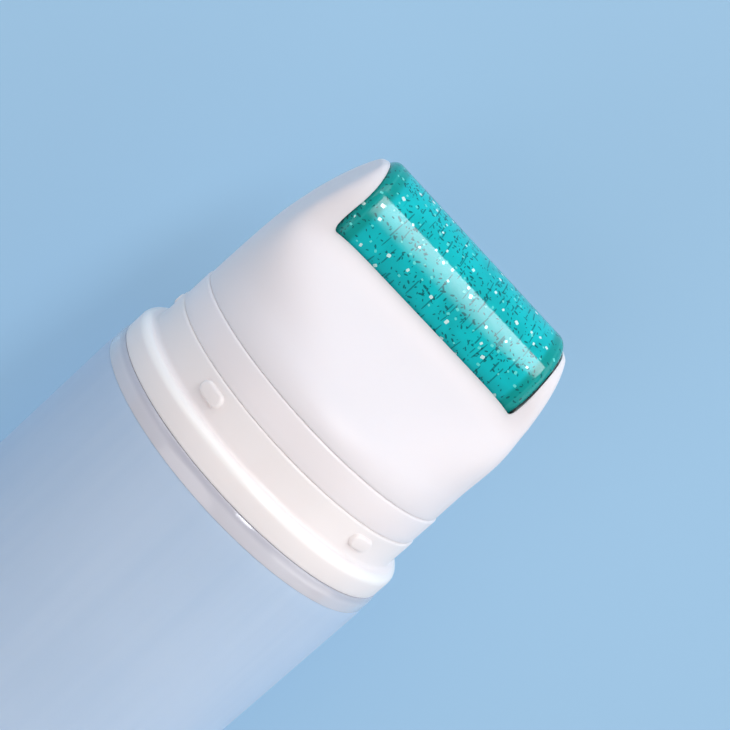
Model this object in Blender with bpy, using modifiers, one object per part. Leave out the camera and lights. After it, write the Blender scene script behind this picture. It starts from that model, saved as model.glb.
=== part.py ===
"""Roller applicator tube: a squeeze tube with a twist-open head that carries a roller.

All pieces are modelled round the tube's own axis, with the roller at the top (+Z), the flange's lower
edge at height zero and the front of the head towards -Y. One empty then lays the whole tube on its back.
Sizes are in metres.
"""

import math

import bmesh
import bpy

# Clearances
SEAT_GAP = 0.0003          # between pieces that touch
TURN_GAP = 0.0004          # between pieces that turn against each other
OVERRUN = 0.0005           # how far a cutter passes the face it cuts
MERGE = 0.00001            # vertices nearer than this are one

# Tube sleeve
SLEEVE_RADIUS = 0.0250
SLEEVE_WALL = 0.0006
SLEEVE_LENGTH = 0.1473
SLEEVE_STRAIGHT = 0.0560   # length that stays round below the shoulder
SLEEVE_CUT_DEPTH = 0.0026  # the sleeve's cut end lies this far under the flange
SLEEVE_LIP = 0.0016        # height over which the cut end draws in
SLEEVE_LIP_DRAW = 0.0003
REST_FLAT_WIDTH = 0.0076   # the soft sleeve settles flat this wide where it lies on its back
REST_FLAT_SETBACK = 0.0065  # from the cut end to where it starts to settle, past the shoulder's skirt
REST_FLAT_ONSET = 0.0040   # length over which the flat widens
CRIMP_LENGTH = 0.0080
CRIMP_THICKNESS = 0.0012
CRIMP_CORNER = 0.0015
CRIMP_POWER = 7.0          # section power of the crimp: nearly a rectangle
CRIMP_FLAT_SHARE = 0.88
CRIMP_ONSET_POWER = 4      # the sections stay oval till close to the crimp

# Tube shoulder
SHOULDER_RIM_INSET = 0.0003
SHOULDER_RIM_EDGE = 0.0010
SHOULDER_THICKNESS = 0.0021
SHOULDER_SKIRT_LENGTH = 0.0055
SHOULDER_SKIRT_WALL = 0.0012
NECK_WALL = 0.0018
NECK_EDGE = 0.0003
THREAD_DEPTH = 0.0012
THREAD_ROOT_WIDTH = 0.0014
THREAD_CREST_WIDTH = 0.0007
THREAD_PITCH = 0.0036
THREAD_TURNS = 1.5
THREAD_START = 0.0018
THREAD_CLEARANCE = 0.0007
GASKET_THICKNESS = 0.0010

# Base collar
FLANGE_INSET = 0.0004      # the flange is this much smaller than the sleeve
FLANGE_HEIGHT = 0.0038
FLANGE_FILLET = 0.0011
FLANGE_FOOT_EDGE = 0.0004
COLLAR_SETBACK = 0.0019    # from the flange's wall in to the collar's
COLLAR_HEIGHT = 0.0087
COLLAR_EDGE = 0.0003
COLLAR_FILLET = 0.0003
COLLAR_WALL = 0.0014
SKIRT_WALL = 0.0016
TOWER_EDGE = 0.0004
DECK_THICKNESS = 0.0018
SNAP_LIFT = 0.0020         # middle of the tower's snap bead above the collar's top
SNAP_REACH = 0.00055
SNAP_HALF_HEIGHT = 0.0004
BEAD_COUNT = 5
BEAD_LENGTH = 0.0040
BEAD_WIDTH = 0.0020
BEAD_RISE = 0.00045
BEAD_LIFT = 0.0027         # middle of the beads above the flange's top
PORT_OFFSET = 0.0075
PORT_RADIUS = 0.0030

# Seal rings
SEAL_RADIUS = 0.000375
SEAL_GROOVE_DEPTH = 0.0010
TURN_SEAL_DROP = 0.00135   # below the tower's top
HEAD_SEAL_LIFT = 0.0012    # above the band's top

# Turning ring
RING_STEP = 0.0002         # the band is this much smaller than the collar
RING_HEIGHT = 0.0041
RING_EDGE = 0.0003
RING_WALL = 0.0014
RING_WEB = 0.0014
RING_SLEEVE_WALL = 0.00175
RING_GROOVE_DEPTH = 0.00055
RING_GROOVE_HEIGHT = 0.0015
RING_PLATE = 0.0014
SPIGOT_RISE = 0.0036
SPIGOT_SNAP_DROP = 0.0010  # middle of the spigot's snap bead below its top
SPIGOT_SNAP_REACH = 0.00035
SPIGOT_SNAP_HALF_HEIGHT = 0.00025
SPIGOT_EDGE = 0.0003
DISC_THICKNESS = 0.0008
DISC_INSET = 0.0009
TWIST_RANGE = 90.0         # degrees from closed to open
STOP_WIDTH = 0.0020
STOP_HEIGHT = 0.0025
STOP_AZIMUTH = 200.0       # degrees, where the ring's rib lies when closed

# Roller head
HEAD_STEP = 0.0002         # the head's base is this much smaller than the band
HEAD_BASE_WALL = 0.00295
HEAD_WALL = 0.0017
HEAD_BASE_POWER = 2.0      # section power at the base: a circle
HEAD_TOP_POWER = 8.0       # section power from the lip upwards: nearly a rectangle
HEAD_POWER_RISE = 2.7      # the sections stay nearly round till close to the lip
HEAD_SNAP_HEIGHT = 0.0012
HEAD_TAPER = 0.0046        # how far each side draws in from the base to the ears' tips
HEAD_TAPER_POWER = 2.3
BASE_EASE = 0.0040         # height over which the upright base bends into the leaning face
EAR_EASE = 0.0040          # height over which the leaning face bends upright again
EAR_FACE_LIFT = 0.0006     # the ears' faces are upright this far above the lip
EAR_FACE_INSET = 0.00037   # from the roller's space in to the ears' faces
EAR_ARCH_DROP = 0.00045    # the ears' arch starts this far below the roller's axis
EAR_ARCH_POWER = 2.6
EAR_TIP_DROP = 0.00105     # the ears' tips lie this far below the roller's crest
EAR_EDGE = 0.0006
EAR_INSET = 0.0053         # from the head's base radius in to the ears' inner faces
HOLLOW_SHELF = 0.00035     # the hollow is this much narrower than the bore below it
HOLLOW_TOP_INSET = 0.0016
HOLLOW_HEADROOM = 0.0020

# Roller and its bearings
ROLLER_RADIUS = 0.0085
ROLLER_FILLET = 0.0017
ROLLER_RISE = 0.01955      # height of the roller's axis above the head's base
CAVITY_FILLET = 0.0014     # sharper than the roller's, so the lip's corners stay crisp
PIN_RADIUS = 0.0015
PIN_EDGE = 0.0003
PIN_IN_ROLLER = 0.0060
BUSH_WALL = 0.0007
BUSH_LENGTH = 0.0010
BUSH_EDGE = 0.0002

# Flow insert
INSERT_RIM = 0.00295       # height of the pan's rim above the lowest line of its trough
INSERT_FLOOR = 0.0016
INSERT_WALL = 0.0016
FEED_COUNT = 5
FEED_SPACING = 0.0050
FEED_RADIUS = 0.0012

# Steps
ROUND_STEPS = 40
SMALL_STEPS = 20
ARC_STEPS = 3
EDGE_STEPS = 2
SEAL_STEPS = 5
BEAD_STEPS = 8
TAPER_STEPS = 8
WEDGE_STEPS = 7
PLENUM_STEPS = 3
ARCH_STEPS = 5
HALVING_STEPS = 40
SHARP_ANGLE = 35.0         # degrees between faces, above which an edge stays sharp

# Radii that follow, from the sleeve inwards
SHOULDER_RIM_RADIUS = SLEEVE_RADIUS - SHOULDER_RIM_INSET
FLANGE_RADIUS = SLEEVE_RADIUS - FLANGE_INSET
COLLAR_RADIUS = FLANGE_RADIUS - COLLAR_SETBACK
RING_RADIUS = COLLAR_RADIUS - RING_STEP
RING_INNER_RADIUS = RING_RADIUS - RING_WALL
HEAD_RADIUS = RING_RADIUS - HEAD_STEP
HEAD_BORE_RADIUS = HEAD_RADIUS - HEAD_BASE_WALL
SPIGOT_RADIUS = HEAD_BORE_RADIUS - TURN_GAP
RING_BORE_RADIUS = SPIGOT_RADIUS - RING_SLEEVE_WALL
TOWER_RADIUS = RING_BORE_RADIUS - SEAT_GAP
SKIRT_BORE_RADIUS = TOWER_RADIUS - SKIRT_WALL
NECK_RADIUS = SKIRT_BORE_RADIUS - THREAD_CLEARANCE - THREAD_DEPTH
NECK_BORE_RADIUS = NECK_RADIUS - NECK_WALL
DISC_RADIUS = TOWER_RADIUS - DISC_INSET
STOP_INNER_RADIUS = SPIGOT_RADIUS + TURN_GAP
STOP_OUTER_RADIUS = RING_INNER_RADIUS - TURN_GAP
TURN_SEAL_RADIUS = TOWER_RADIUS - SEAL_GROOVE_DEPTH + SEAT_GAP + SEAL_RADIUS
HEAD_SEAL_RADIUS = SPIGOT_RADIUS - SEAL_GROOVE_DEPTH + SEAT_GAP + SEAL_RADIUS

# Heights that follow, from the flange up to the spigot and back down to the neck
BEAD_HEIGHT = FLANGE_HEIGHT + BEAD_LIFT
RING_BASE = COLLAR_HEIGHT + SEAT_GAP
RING_TOP = RING_BASE + RING_HEIGHT
HEAD_BASE = RING_TOP + SEAT_GAP
PLATE_TOP = RING_TOP + SPIGOT_RISE
PLATE_HEIGHT = PLATE_TOP - RING_PLATE
DISC_HEIGHT = PLATE_HEIGHT - SEAT_GAP - DISC_THICKNESS
TOWER_HEIGHT = DISC_HEIGHT - SEAT_GAP
DECK_HEIGHT = TOWER_HEIGHT - DECK_THICKNESS
GASKET_HEIGHT = DECK_HEIGHT - SEAT_GAP - GASKET_THICKNESS
NECK_HEIGHT = GASKET_HEIGHT - SEAT_GAP
SNAP_HEIGHT = COLLAR_HEIGHT + SNAP_LIFT
TURN_SEAL_HEIGHT = TOWER_HEIGHT - TURN_SEAL_DROP
HEAD_SEAL_HEIGHT = RING_TOP + HEAD_SEAL_LIFT
SPIGOT_SNAP_HEIGHT = PLATE_TOP - SPIGOT_SNAP_DROP

# The roller, its space and what surrounds it
ROLLER_HEIGHT = HEAD_BASE + ROLLER_RISE
TIP_HEIGHT = ROLLER_HEIGHT + ROLLER_RADIUS
CAVITY_RADIUS = ROLLER_RADIUS + TURN_GAP
CAVITY_HALF_LENGTH = HEAD_RADIUS - EAR_INSET
ROLLER_HALF_LENGTH = CAVITY_HALF_LENGTH - TURN_GAP
BUSH_START = CAVITY_HALF_LENGTH + SEAT_GAP / 2
BUSH_END = BUSH_START + BUSH_LENGTH
BUSH_BORE_RADIUS = PIN_RADIUS + SEAT_GAP
BUSH_RADIUS = BUSH_BORE_RADIUS + BUSH_WALL
EAR_HALF_DEPTH = CAVITY_RADIUS - EAR_FACE_INSET
LIP_HEIGHT = ROLLER_HEIGHT - math.sqrt(CAVITY_RADIUS ** 2 - EAR_HALF_DEPTH ** 2)
EAR_FACE_START = LIP_HEIGHT + EAR_FACE_LIFT
EAR_ARCH_START = ROLLER_HEIGHT - EAR_ARCH_DROP
EAR_TOP = TIP_HEIGHT - EAR_TIP_DROP
INSERT_BASE = PLATE_TOP + SEAT_GAP
TROUGH_HEIGHT = ROLLER_HEIGHT - CAVITY_RADIUS
INSERT_TOP = TROUGH_HEIGHT + INSERT_RIM
HOLLOW_TOP = INSERT_TOP + HOLLOW_HEADROOM
HOLLOW_HALF_WIDTH = HEAD_BORE_RADIUS - HOLLOW_SHELF
HOLLOW_TOP_HALF_WIDTH = CAVITY_HALF_LENGTH - HOLLOW_TOP_INSET

# The tube's length and how high its axis lies over the floor
TAIL_HEIGHT = -SLEEVE_CUT_DEPTH - SLEEVE_LENGTH
REST_HEIGHT = SLEEVE_RADIUS * math.cos(math.pi / ROUND_STEPS)


def clear_scene():
    for thing in list(bpy.data.objects):
        bpy.data.objects.remove(thing, do_unlink=True)


def make_collection(name):
    collection = bpy.data.collections.new(name)
    bpy.context.scene.collection.children.link(collection)
    return collection


def make_material(name, color, roughness, metallic=0.0, transmission=0.0):
    look = bpy.data.materials.new(name)
    look.use_nodes = True
    shader = look.node_tree.nodes["Principled BSDF"]
    shader.inputs["Base Color"].default_value = (*color, 1.0)
    shader.inputs["Roughness"].default_value = roughness
    shader.inputs["Metallic"].default_value = metallic
    shader.inputs["Transmission Weight"].default_value = transmission
    look.diffuse_color = (*color, 1.0)
    return look


def make_empty(name, parent=None, location=(0, 0, 0), rotation=(0, 0, 0)):
    empty = bpy.data.objects.new(name, None)
    PARTS.objects.link(empty)
    empty.empty_display_size = SLEEVE_RADIUS
    empty.parent = parent
    empty.location = location
    empty.rotation_euler = rotation
    return empty


def add_piece(name, mesh, parent, look):
    """Puts a mesh in the parts' collection, shaded smooth with sharp edges kept."""
    piece = bpy.data.objects.new(name, mesh)
    PARTS.objects.link(piece)
    piece.parent = parent
    mesh.materials.append(look)
    mesh.shade_smooth()
    mesh.set_sharp_from_angle(angle=math.radians(SHARP_ANGLE))
    return piece


def add_cutter(name, mesh, parent):
    """Puts a mesh in the cutters' collection, hidden in renders and drawn as a wire."""
    cutter = bpy.data.objects.new(name, mesh)
    CUTTERS.objects.link(cutter)
    cutter.parent = parent
    cutter.hide_render = True
    cutter.display_type = 'WIRE'
    return cutter


def combine(piece, other, operation):
    boolean = piece.modifiers.new(operation.title(), 'BOOLEAN')
    boolean.operation = operation
    boolean.solver = 'EXACT'
    boolean.object = other


def arc(center_radius, center_height, radius, start, stop, steps=ARC_STEPS):
    """Points of an arc in a turned profile, from one angle to another in degrees."""
    points = []
    for step in range(steps + 1):
        angle = math.radians(start + (stop - start) * step / steps)
        points.append((center_radius + radius * math.cos(angle), center_height + radius * math.sin(angle)))
    return points


def turned_mesh(name, profile, closed):
    """A profile of (radius, height) points, joined end to start when it doesn't reach the axis."""
    mesh = bpy.data.meshes.new(name)
    vertices = [(radius, 0.0, height) for radius, height in profile]
    edges = [(index, index + 1) for index in range(len(profile) - 1)]
    if closed:
        edges.append((len(profile) - 1, 0))
    mesh.from_pydata(vertices, edges, [])
    return mesh


def spin(thing, steps):
    screw = thing.modifiers.new("Turn", 'SCREW')
    screw.axis = 'Z'
    screw.steps = steps
    screw.render_steps = steps
    screw.use_merge_vertices = True
    screw.merge_threshold = MERGE
    thing.rotation_euler.z += math.pi / steps


def turned_piece(name, profile, parent, look, closed=True, steps=ROUND_STEPS):
    piece = add_piece(name, turned_mesh(name, profile, closed), parent, look)
    spin(piece, steps)
    return piece


def turned_cutter(name, profile, parent, closed=False, steps=ROUND_STEPS):
    cutter = add_cutter(name, turned_mesh(name, profile, closed), parent)
    spin(cutter, steps)
    return cutter


def rod_profile(radius, low, high, edge=0.0):
    """A solid rod from one height to another, with bevelled edges."""
    if edge == 0:
        return [(0.0, high), (radius, high), (radius, low), (0.0, low)]
    return [(0.0, high), (radius - edge, high), (radius, high - edge), (radius, low + edge),
            (radius - edge, low), (0.0, low)]


def rounded_rod_profile(radius, half_length, fillet):
    """A solid rod, centred on height zero, with rounded end edges."""
    upper = arc(radius - fillet, half_length - fillet, fillet, 90, 0)
    lower = arc(radius - fillet, fillet - half_length, fillet, 0, -90)
    return [(0.0, half_length)] + upper + lower + [(0.0, -half_length)]


def seal_ring(name, middle_radius, height, parent, look):
    """An O-ring round the tube's axis."""
    turn = 360 / (SEAL_STEPS + 1)
    profile = arc(middle_radius, height, SEAL_RADIUS, 90, turn - 270, SEAL_STEPS)
    return turned_piece(name, profile, parent, look)


def block_mesh(name, low, high):
    """A box between two corners."""
    mesh = bpy.data.meshes.new(name)
    shape = bmesh.new()
    bmesh.ops.create_cube(shape, size=1.0)
    for vertex in shape.verts:
        for axis in range(3):
            middle = (low[axis] + high[axis]) / 2
            vertex.co[axis] = middle + vertex.co[axis] * (high[axis] - low[axis])
    shape.to_mesh(mesh)
    shape.free()
    return mesh


def section_ring(half_width, half_depth, power, height, flat_share=1.0):
    """One section of a loft: a circle at power 2, squarer above, with flat faces below share 1."""
    points = []
    for step in range(ROUND_STEPS):
        angle = (step + 0.5) * 2 * math.pi / ROUND_STEPS
        across = abs(math.cos(angle)) ** (2 / power)
        through = min(1.0, abs(math.sin(angle)) ** (2 / power) / flat_share)
        points.append((math.copysign(half_width * across, math.cos(angle)),
                       math.copysign(half_depth * through, math.sin(angle)), height))
    return points


def loft_mesh(name, rings):
    """A closed skin over rings of equal count, capped at both ends."""
    mesh = bpy.data.meshes.new(name)
    shape = bmesh.new()
    rows = [[shape.verts.new(point) for point in ring] for ring in rings]
    for lower, upper in zip(rows, rows[1:]):
        for index in range(len(lower)):
            following = (index + 1) % len(lower)
            shape.faces.new((lower[index], lower[following], upper[following], upper[index]))
    shape.faces.new(reversed(rows[0]))
    shape.faces.new(rows[-1])
    bmesh.ops.recalc_face_normals(shape, faces=shape.faces)
    shape.to_mesh(mesh)
    shape.free()
    return mesh


def thread_mesh(name, root_radius, crest_radius, start, embed):
    """A helical ridge of trapezoid section; the crest may lie inside or outside the root."""
    outward = 1 if crest_radius > root_radius else -1
    base = root_radius - outward * embed
    half_root = THREAD_ROOT_WIDTH / 2
    half_crest = THREAD_CREST_WIDTH / 2
    section = [(base, start - half_root), (base, start + half_root),
               (crest_radius, start + half_crest), (crest_radius, start - half_crest)]
    guide = bpy.data.objects.new(name, turned_mesh(name, section, True))
    CUTTERS.objects.link(guide)
    screw = guide.modifiers.new("Helix", 'SCREW')
    screw.axis = 'Z'
    screw.angle = 2 * math.pi * THREAD_TURNS
    screw.screw_offset = THREAD_PITCH * THREAD_TURNS
    screw.steps = round(SMALL_STEPS * THREAD_TURNS)
    screw.render_steps = screw.steps
    evaluated = guide.evaluated_get(bpy.context.evaluated_depsgraph_get())
    mesh = bpy.data.meshes.new_from_object(evaluated)
    bpy.data.objects.remove(guide, do_unlink=True)
    shape = bmesh.new()
    shape.from_mesh(mesh)
    bmesh.ops.holes_fill(shape, edges=shape.edges, sides=len(section))
    bmesh.ops.recalc_face_normals(shape, faces=shape.faces)
    shape.to_mesh(mesh)
    shape.free()
    return mesh


def taper_share(share):
    """Falls from 1 to 0, level at the start and straight towards the end."""
    return (1 - share) * (1 + share * (1 - share))


def width_round(half_depth):
    """Half width of an oval whose girth is that of the round sleeve, found by halving."""
    girth = 2 * math.pi * SLEEVE_RADIUS
    low = SLEEVE_RADIUS / 2
    high = 2 * SLEEVE_RADIUS
    for _ in range(HALVING_STEPS):
        middle = (low + high) / 2
        total = middle + half_depth
        spread = math.sqrt((3 * middle + half_depth) * (middle + 3 * half_depth))
        if math.pi * (3 * total - spread) < girth:
            low = middle
        else:
            high = middle
    return (low + high) / 2


def settled_ring(radius, height):
    """A round section whose points next to the ground are spread over the resting flat's width."""
    ring = section_ring(radius, radius, 2, height)
    ground = radius * math.cos(math.pi / ROUND_STEPS) - MERGE
    reach = max(abs(x) for x, y, _ in ring if y > ground)
    half = REST_FLAT_WIDTH / 2 * radius / SLEEVE_RADIUS
    return [(x * half / reach if y > ground else x, y, z) for x, y, z in ring]


def sleeve_rings(inset):
    """Sections from where the sleeve starts to settle, over the tapering stretch, to the crimp."""
    start = -SLEEVE_CUT_DEPTH - SLEEVE_STRAIGHT
    stop = TAIL_HEIGHT + CRIMP_LENGTH
    flat = CRIMP_THICKNESS / 2
    radius = SLEEVE_RADIUS - inset
    settle = -SLEEVE_CUT_DEPTH - REST_FLAT_SETBACK
    rings = [section_ring(radius, radius, 2, settle), settled_ring(radius, settle - REST_FLAT_ONSET),
             settled_ring(radius, start)]
    for step in range(1, TAPER_STEPS + 1):
        share = step / TAPER_STEPS
        half_depth = flat + (SLEEVE_RADIUS - flat) * taper_share(share)
        onset = share ** CRIMP_ONSET_POWER
        power = 2 + (CRIMP_POWER - 2) * onset
        flat_share = 1 - (1 - CRIMP_FLAT_SHARE) * onset
        height = start + (stop - start) * share
        if half_depth - inset > SEAT_GAP / 2:
            rings.append(section_ring(width_round(half_depth) - inset, half_depth - inset,
                                      power, height, flat_share))
    return rings


def tube_sleeve():
    """The squeeze sleeve: a thin skin, round at the head end and pressed flat at the tail."""
    mouth = -SLEEVE_CUT_DEPTH
    bore = SLEEVE_RADIUS - SLEEVE_WALL
    skin = list(reversed(sleeve_rings(SLEEVE_WALL)))
    skin.append(section_ring(bore, bore, 2, mouth))
    for step in range(ARC_STEPS):
        share = step / ARC_STEPS
        radius = SLEEVE_RADIUS - SLEEVE_LIP_DRAW * (1 - share) ** 2
        skin.append(section_ring(radius, radius, 2, mouth - SLEEVE_LIP * share))
    skin.append(section_ring(SLEEVE_RADIUS, SLEEVE_RADIUS, 2, mouth - SLEEVE_LIP))
    skin.extend(sleeve_rings(0.0))
    flat = CRIMP_THICKNESS / 2
    width = width_round(flat)
    skin.append(section_ring(width, flat, CRIMP_POWER, TAIL_HEIGHT + CRIMP_CORNER, CRIMP_FLAT_SHARE))
    skin.append(section_ring(width - CRIMP_CORNER / 2, flat, CRIMP_POWER, TAIL_HEIGHT, CRIMP_FLAT_SHARE))
    look = make_material("frosted_sleeve", (0.62, 0.74, 0.86), 0.42, transmission=0.6)
    return add_piece("tube_sleeve", loft_mesh("tube_sleeve", skin), TUBE_AXIS, look)


def tube_shoulder():
    """Rim between sleeve and flange, skirt inside the sleeve, deck and threaded neck."""
    look = make_material("shoulder_clear", (0.80, 0.83, 0.90), 0.12, transmission=0.5)
    top = -SEAT_GAP
    step = SEAT_GAP - SLEEVE_CUT_DEPTH
    underside = top - SHOULDER_THICKNESS
    skirt_radius = SLEEVE_RADIUS - SLEEVE_WALL - SEAT_GAP
    skirt_foot = step - SHOULDER_SKIRT_LENGTH
    profile = [(NECK_BORE_RADIUS, NECK_HEIGHT), (NECK_RADIUS - NECK_EDGE, NECK_HEIGHT),
               (NECK_RADIUS, NECK_HEIGHT - NECK_EDGE), (NECK_RADIUS, top)]
    profile += arc(SHOULDER_RIM_RADIUS - SHOULDER_RIM_EDGE, top - SHOULDER_RIM_EDGE, SHOULDER_RIM_EDGE, 90, 0)
    profile += [(SHOULDER_RIM_RADIUS, step), (skirt_radius, step), (skirt_radius, skirt_foot),
                (skirt_radius - SHOULDER_SKIRT_WALL, skirt_foot),
                (skirt_radius - SHOULDER_SKIRT_WALL, underside), (NECK_BORE_RADIUS, underside)]
    shoulder = turned_piece("tube_shoulder", profile, TUBE_AXIS, look)
    ridge = thread_mesh("neck_thread", NECK_RADIUS, NECK_RADIUS + THREAD_DEPTH, THREAD_START, SEAT_GAP)
    combine(shoulder, add_cutter("neck_thread", ridge, TUBE_AXIS), 'UNION')
    return shoulder


def neck_gasket():
    """Flat washer between the neck's top and the collar's deck."""
    look = make_material("gasket_rubber", (0.45, 0.47, 0.50), 0.7)
    high = GASKET_HEIGHT + GASKET_THICKNESS
    outer = SKIRT_BORE_RADIUS - SEAT_GAP
    profile = [(NECK_BORE_RADIUS, high), (outer, high), (outer, GASKET_HEIGHT),
               (NECK_BORE_RADIUS, GASKET_HEIGHT)]
    return turned_piece("neck_gasket", profile, TUBE_AXIS, look)


def snap_bead(radius, height, reach, half_height):
    """Three profile points of a snap bead, from its upper root to its lower root."""
    return [(radius, height + 2 * half_height), (radius + reach, height + half_height / 2),
            (radius + reach, height - half_height / 2), (radius, height - half_height)]


def seal_groove(radius, height):
    """Four profile points of the groove that holds a seal ring, from top to bottom."""
    half = SEAL_RADIUS + SEAT_GAP
    bottom = radius - SEAL_GROOVE_DEPTH
    return [(radius, height + half), (bottom, height + half), (bottom, height - half),
            (radius, height - half)]


def collar_profile():
    """The collar's half section, from the tower's middle down the outside and back up inside."""
    flange_top = FLANGE_HEIGHT
    inner = COLLAR_RADIUS - COLLAR_WALL
    flange_inner = FLANGE_RADIUS - COLLAR_WALL
    plate = COLLAR_HEIGHT - COLLAR_WALL
    profile = [(0.0, TOWER_HEIGHT), (TOWER_RADIUS - TOWER_EDGE, TOWER_HEIGHT),
               (TOWER_RADIUS, TOWER_HEIGHT - TOWER_EDGE)]
    profile += seal_groove(TOWER_RADIUS, TURN_SEAL_HEIGHT)
    profile += snap_bead(TOWER_RADIUS, SNAP_HEIGHT, SNAP_REACH, SNAP_HALF_HEIGHT)
    profile.append((TOWER_RADIUS, COLLAR_HEIGHT))
    profile += arc(COLLAR_RADIUS - COLLAR_EDGE, COLLAR_HEIGHT - COLLAR_EDGE, COLLAR_EDGE, 90, 0, EDGE_STEPS)
    profile += arc(COLLAR_RADIUS + COLLAR_FILLET, flange_top + COLLAR_FILLET, COLLAR_FILLET, 180, 270,
                   EDGE_STEPS)
    profile += arc(FLANGE_RADIUS - FLANGE_FILLET, flange_top - FLANGE_FILLET, FLANGE_FILLET, 90, 0)
    profile += arc(FLANGE_RADIUS - FLANGE_FOOT_EDGE, FLANGE_FOOT_EDGE, FLANGE_FOOT_EDGE, 0, -90, EDGE_STEPS)
    profile += [(flange_inner, 0.0), (flange_inner, flange_top - COLLAR_WALL),
                (inner, flange_top - COLLAR_WALL), (inner, plate), (TOWER_RADIUS, plate),
                (TOWER_RADIUS, 0.0), (SKIRT_BORE_RADIUS, 0.0), (SKIRT_BORE_RADIUS, DECK_HEIGHT),
                (0.0, DECK_HEIGHT)]
    return profile


def bead_mesh(name):
    """A pill lying round the collar, half sunk in it."""
    radius = BEAD_WIDTH / 2
    half = BEAD_LENGTH / 2
    rings = []
    for step in range(1, 2 * ARC_STEPS):
        angle = math.pi / 2 * (1 - step / ARC_STEPS)
        across = radius * math.cos(angle)
        along = math.copysign(half - radius, math.sin(angle)) + radius * math.sin(angle)
        if abs(math.sin(angle)) < MERGE:
            along = 0.0
        turns = [2 * math.pi * count / BEAD_STEPS for count in range(BEAD_STEPS)]
        rings.append([(along, across * math.cos(turn) * 2 * BEAD_RISE / radius, across * math.sin(turn))
                      for turn in turns])
    return loft_mesh(name, rings)


def base_collar():
    """Flange, collar with snap beads, threaded skirt and the tower that the head turns on."""
    look = make_material("base_white", (0.87, 0.85, 0.82), 0.3)
    collar = turned_piece("base_collar", collar_profile(), TUBE_AXIS, look, closed=False)
    for count in range(BEAD_COUNT):
        azimuth = -math.pi / 2 + 2 * math.pi * (count + 0.5) / BEAD_COUNT
        bead = add_cutter(f"snap_bead_{count + 1}", bead_mesh(f"snap_bead_{count + 1}"), TUBE_AXIS)
        reach = COLLAR_RADIUS - BEAD_RISE
        bead.location = (reach * math.cos(azimuth), reach * math.sin(azimuth), BEAD_HEIGHT)
        bead.rotation_euler.z = azimuth + math.pi / 2
        combine(collar, bead, 'UNION')
    thread = thread_mesh("collar_thread", SKIRT_BORE_RADIUS, SKIRT_BORE_RADIUS - THREAD_DEPTH,
                         THREAD_START + THREAD_PITCH / 2, SEAT_GAP)
    combine(collar, add_cutter("collar_thread", thread, TUBE_AXIS), 'UNION')
    turn = (STOP_WIDTH + TURN_GAP) / STOP_INNER_RADIUS
    for name, azimuth in (("closed_stop", math.radians(STOP_AZIMUTH) - turn),
                          ("open_stop", math.radians(STOP_AZIMUTH + TWIST_RANGE) + turn)):
        mesh = block_mesh(name, (STOP_INNER_RADIUS, -STOP_WIDTH / 2, COLLAR_HEIGHT - SEAT_GAP),
                          (STOP_OUTER_RADIUS, STOP_WIDTH / 2, COLLAR_HEIGHT + STOP_HEIGHT))
        stop = add_cutter(name, mesh, TUBE_AXIS)
        stop.rotation_euler.z = azimuth
        combine(collar, stop, 'UNION')
    through = rod_profile(PORT_RADIUS, DECK_HEIGHT - OVERRUN, TOWER_HEIGHT + OVERRUN)
    port = turned_cutter("tower_port", through, TUBE_AXIS, steps=SMALL_STEPS)
    port.location.x = PORT_OFFSET
    combine(collar, port, 'DIFFERENCE')
    return collar


def valve_disc():
    """Soft disc that closes the tower's port until its own hole comes over it."""
    look = make_material("disc_rubber", (0.80, 0.80, 0.78), 0.6)
    profile = rod_profile(DISC_RADIUS, DISC_HEIGHT, DISC_HEIGHT + DISC_THICKNESS)
    disc = turned_piece("valve_disc", profile, HEAD_AXIS, look, closed=False)
    hole = turned_cutter("disc_port", rod_profile(PORT_RADIUS, DISC_HEIGHT - OVERRUN / 2,
                                                  DISC_HEIGHT + DISC_THICKNESS + OVERRUN / 2),
                         HEAD_AXIS, steps=SMALL_STEPS)
    hole.location.y = -PORT_OFFSET
    combine(disc, hole, 'DIFFERENCE')
    return disc


def ring_profile():
    """The turning ring's half section: plate, spigot, band, and the bore that snaps on the tower."""
    groove_top = SNAP_HEIGHT - SNAP_HALF_HEIGHT - SEAT_GAP + RING_GROOVE_HEIGHT
    groove_foot = SNAP_HEIGHT - SNAP_HALF_HEIGHT - SEAT_GAP
    groove = RING_BORE_RADIUS + RING_GROOVE_DEPTH
    sleeve_foot = RING_BASE + SEAT_GAP
    web = RING_TOP - RING_WEB
    profile = [(0.0, PLATE_TOP), (SPIGOT_RADIUS - SPIGOT_EDGE, PLATE_TOP),
               (SPIGOT_RADIUS, PLATE_TOP - SPIGOT_EDGE)]
    profile += snap_bead(SPIGOT_RADIUS, SPIGOT_SNAP_HEIGHT, SPIGOT_SNAP_REACH, SPIGOT_SNAP_HALF_HEIGHT)
    profile += seal_groove(SPIGOT_RADIUS, HEAD_SEAL_HEIGHT)
    profile.append((SPIGOT_RADIUS, RING_TOP))
    profile += arc(RING_RADIUS - RING_EDGE, RING_TOP - RING_EDGE, RING_EDGE, 90, 0, EDGE_STEPS)
    profile += [(RING_RADIUS, RING_BASE), (RING_INNER_RADIUS, RING_BASE), (RING_INNER_RADIUS, web),
                (SPIGOT_RADIUS, web), (SPIGOT_RADIUS, sleeve_foot), (RING_BORE_RADIUS, sleeve_foot),
                (RING_BORE_RADIUS, groove_foot), (groove, groove_foot + RING_GROOVE_DEPTH / 2),
                (groove, groove_top), (RING_BORE_RADIUS, groove_top + RING_GROOVE_DEPTH / 2),
                (RING_BORE_RADIUS, PLATE_HEIGHT), (0.0, PLATE_HEIGHT)]
    return profile


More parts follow.
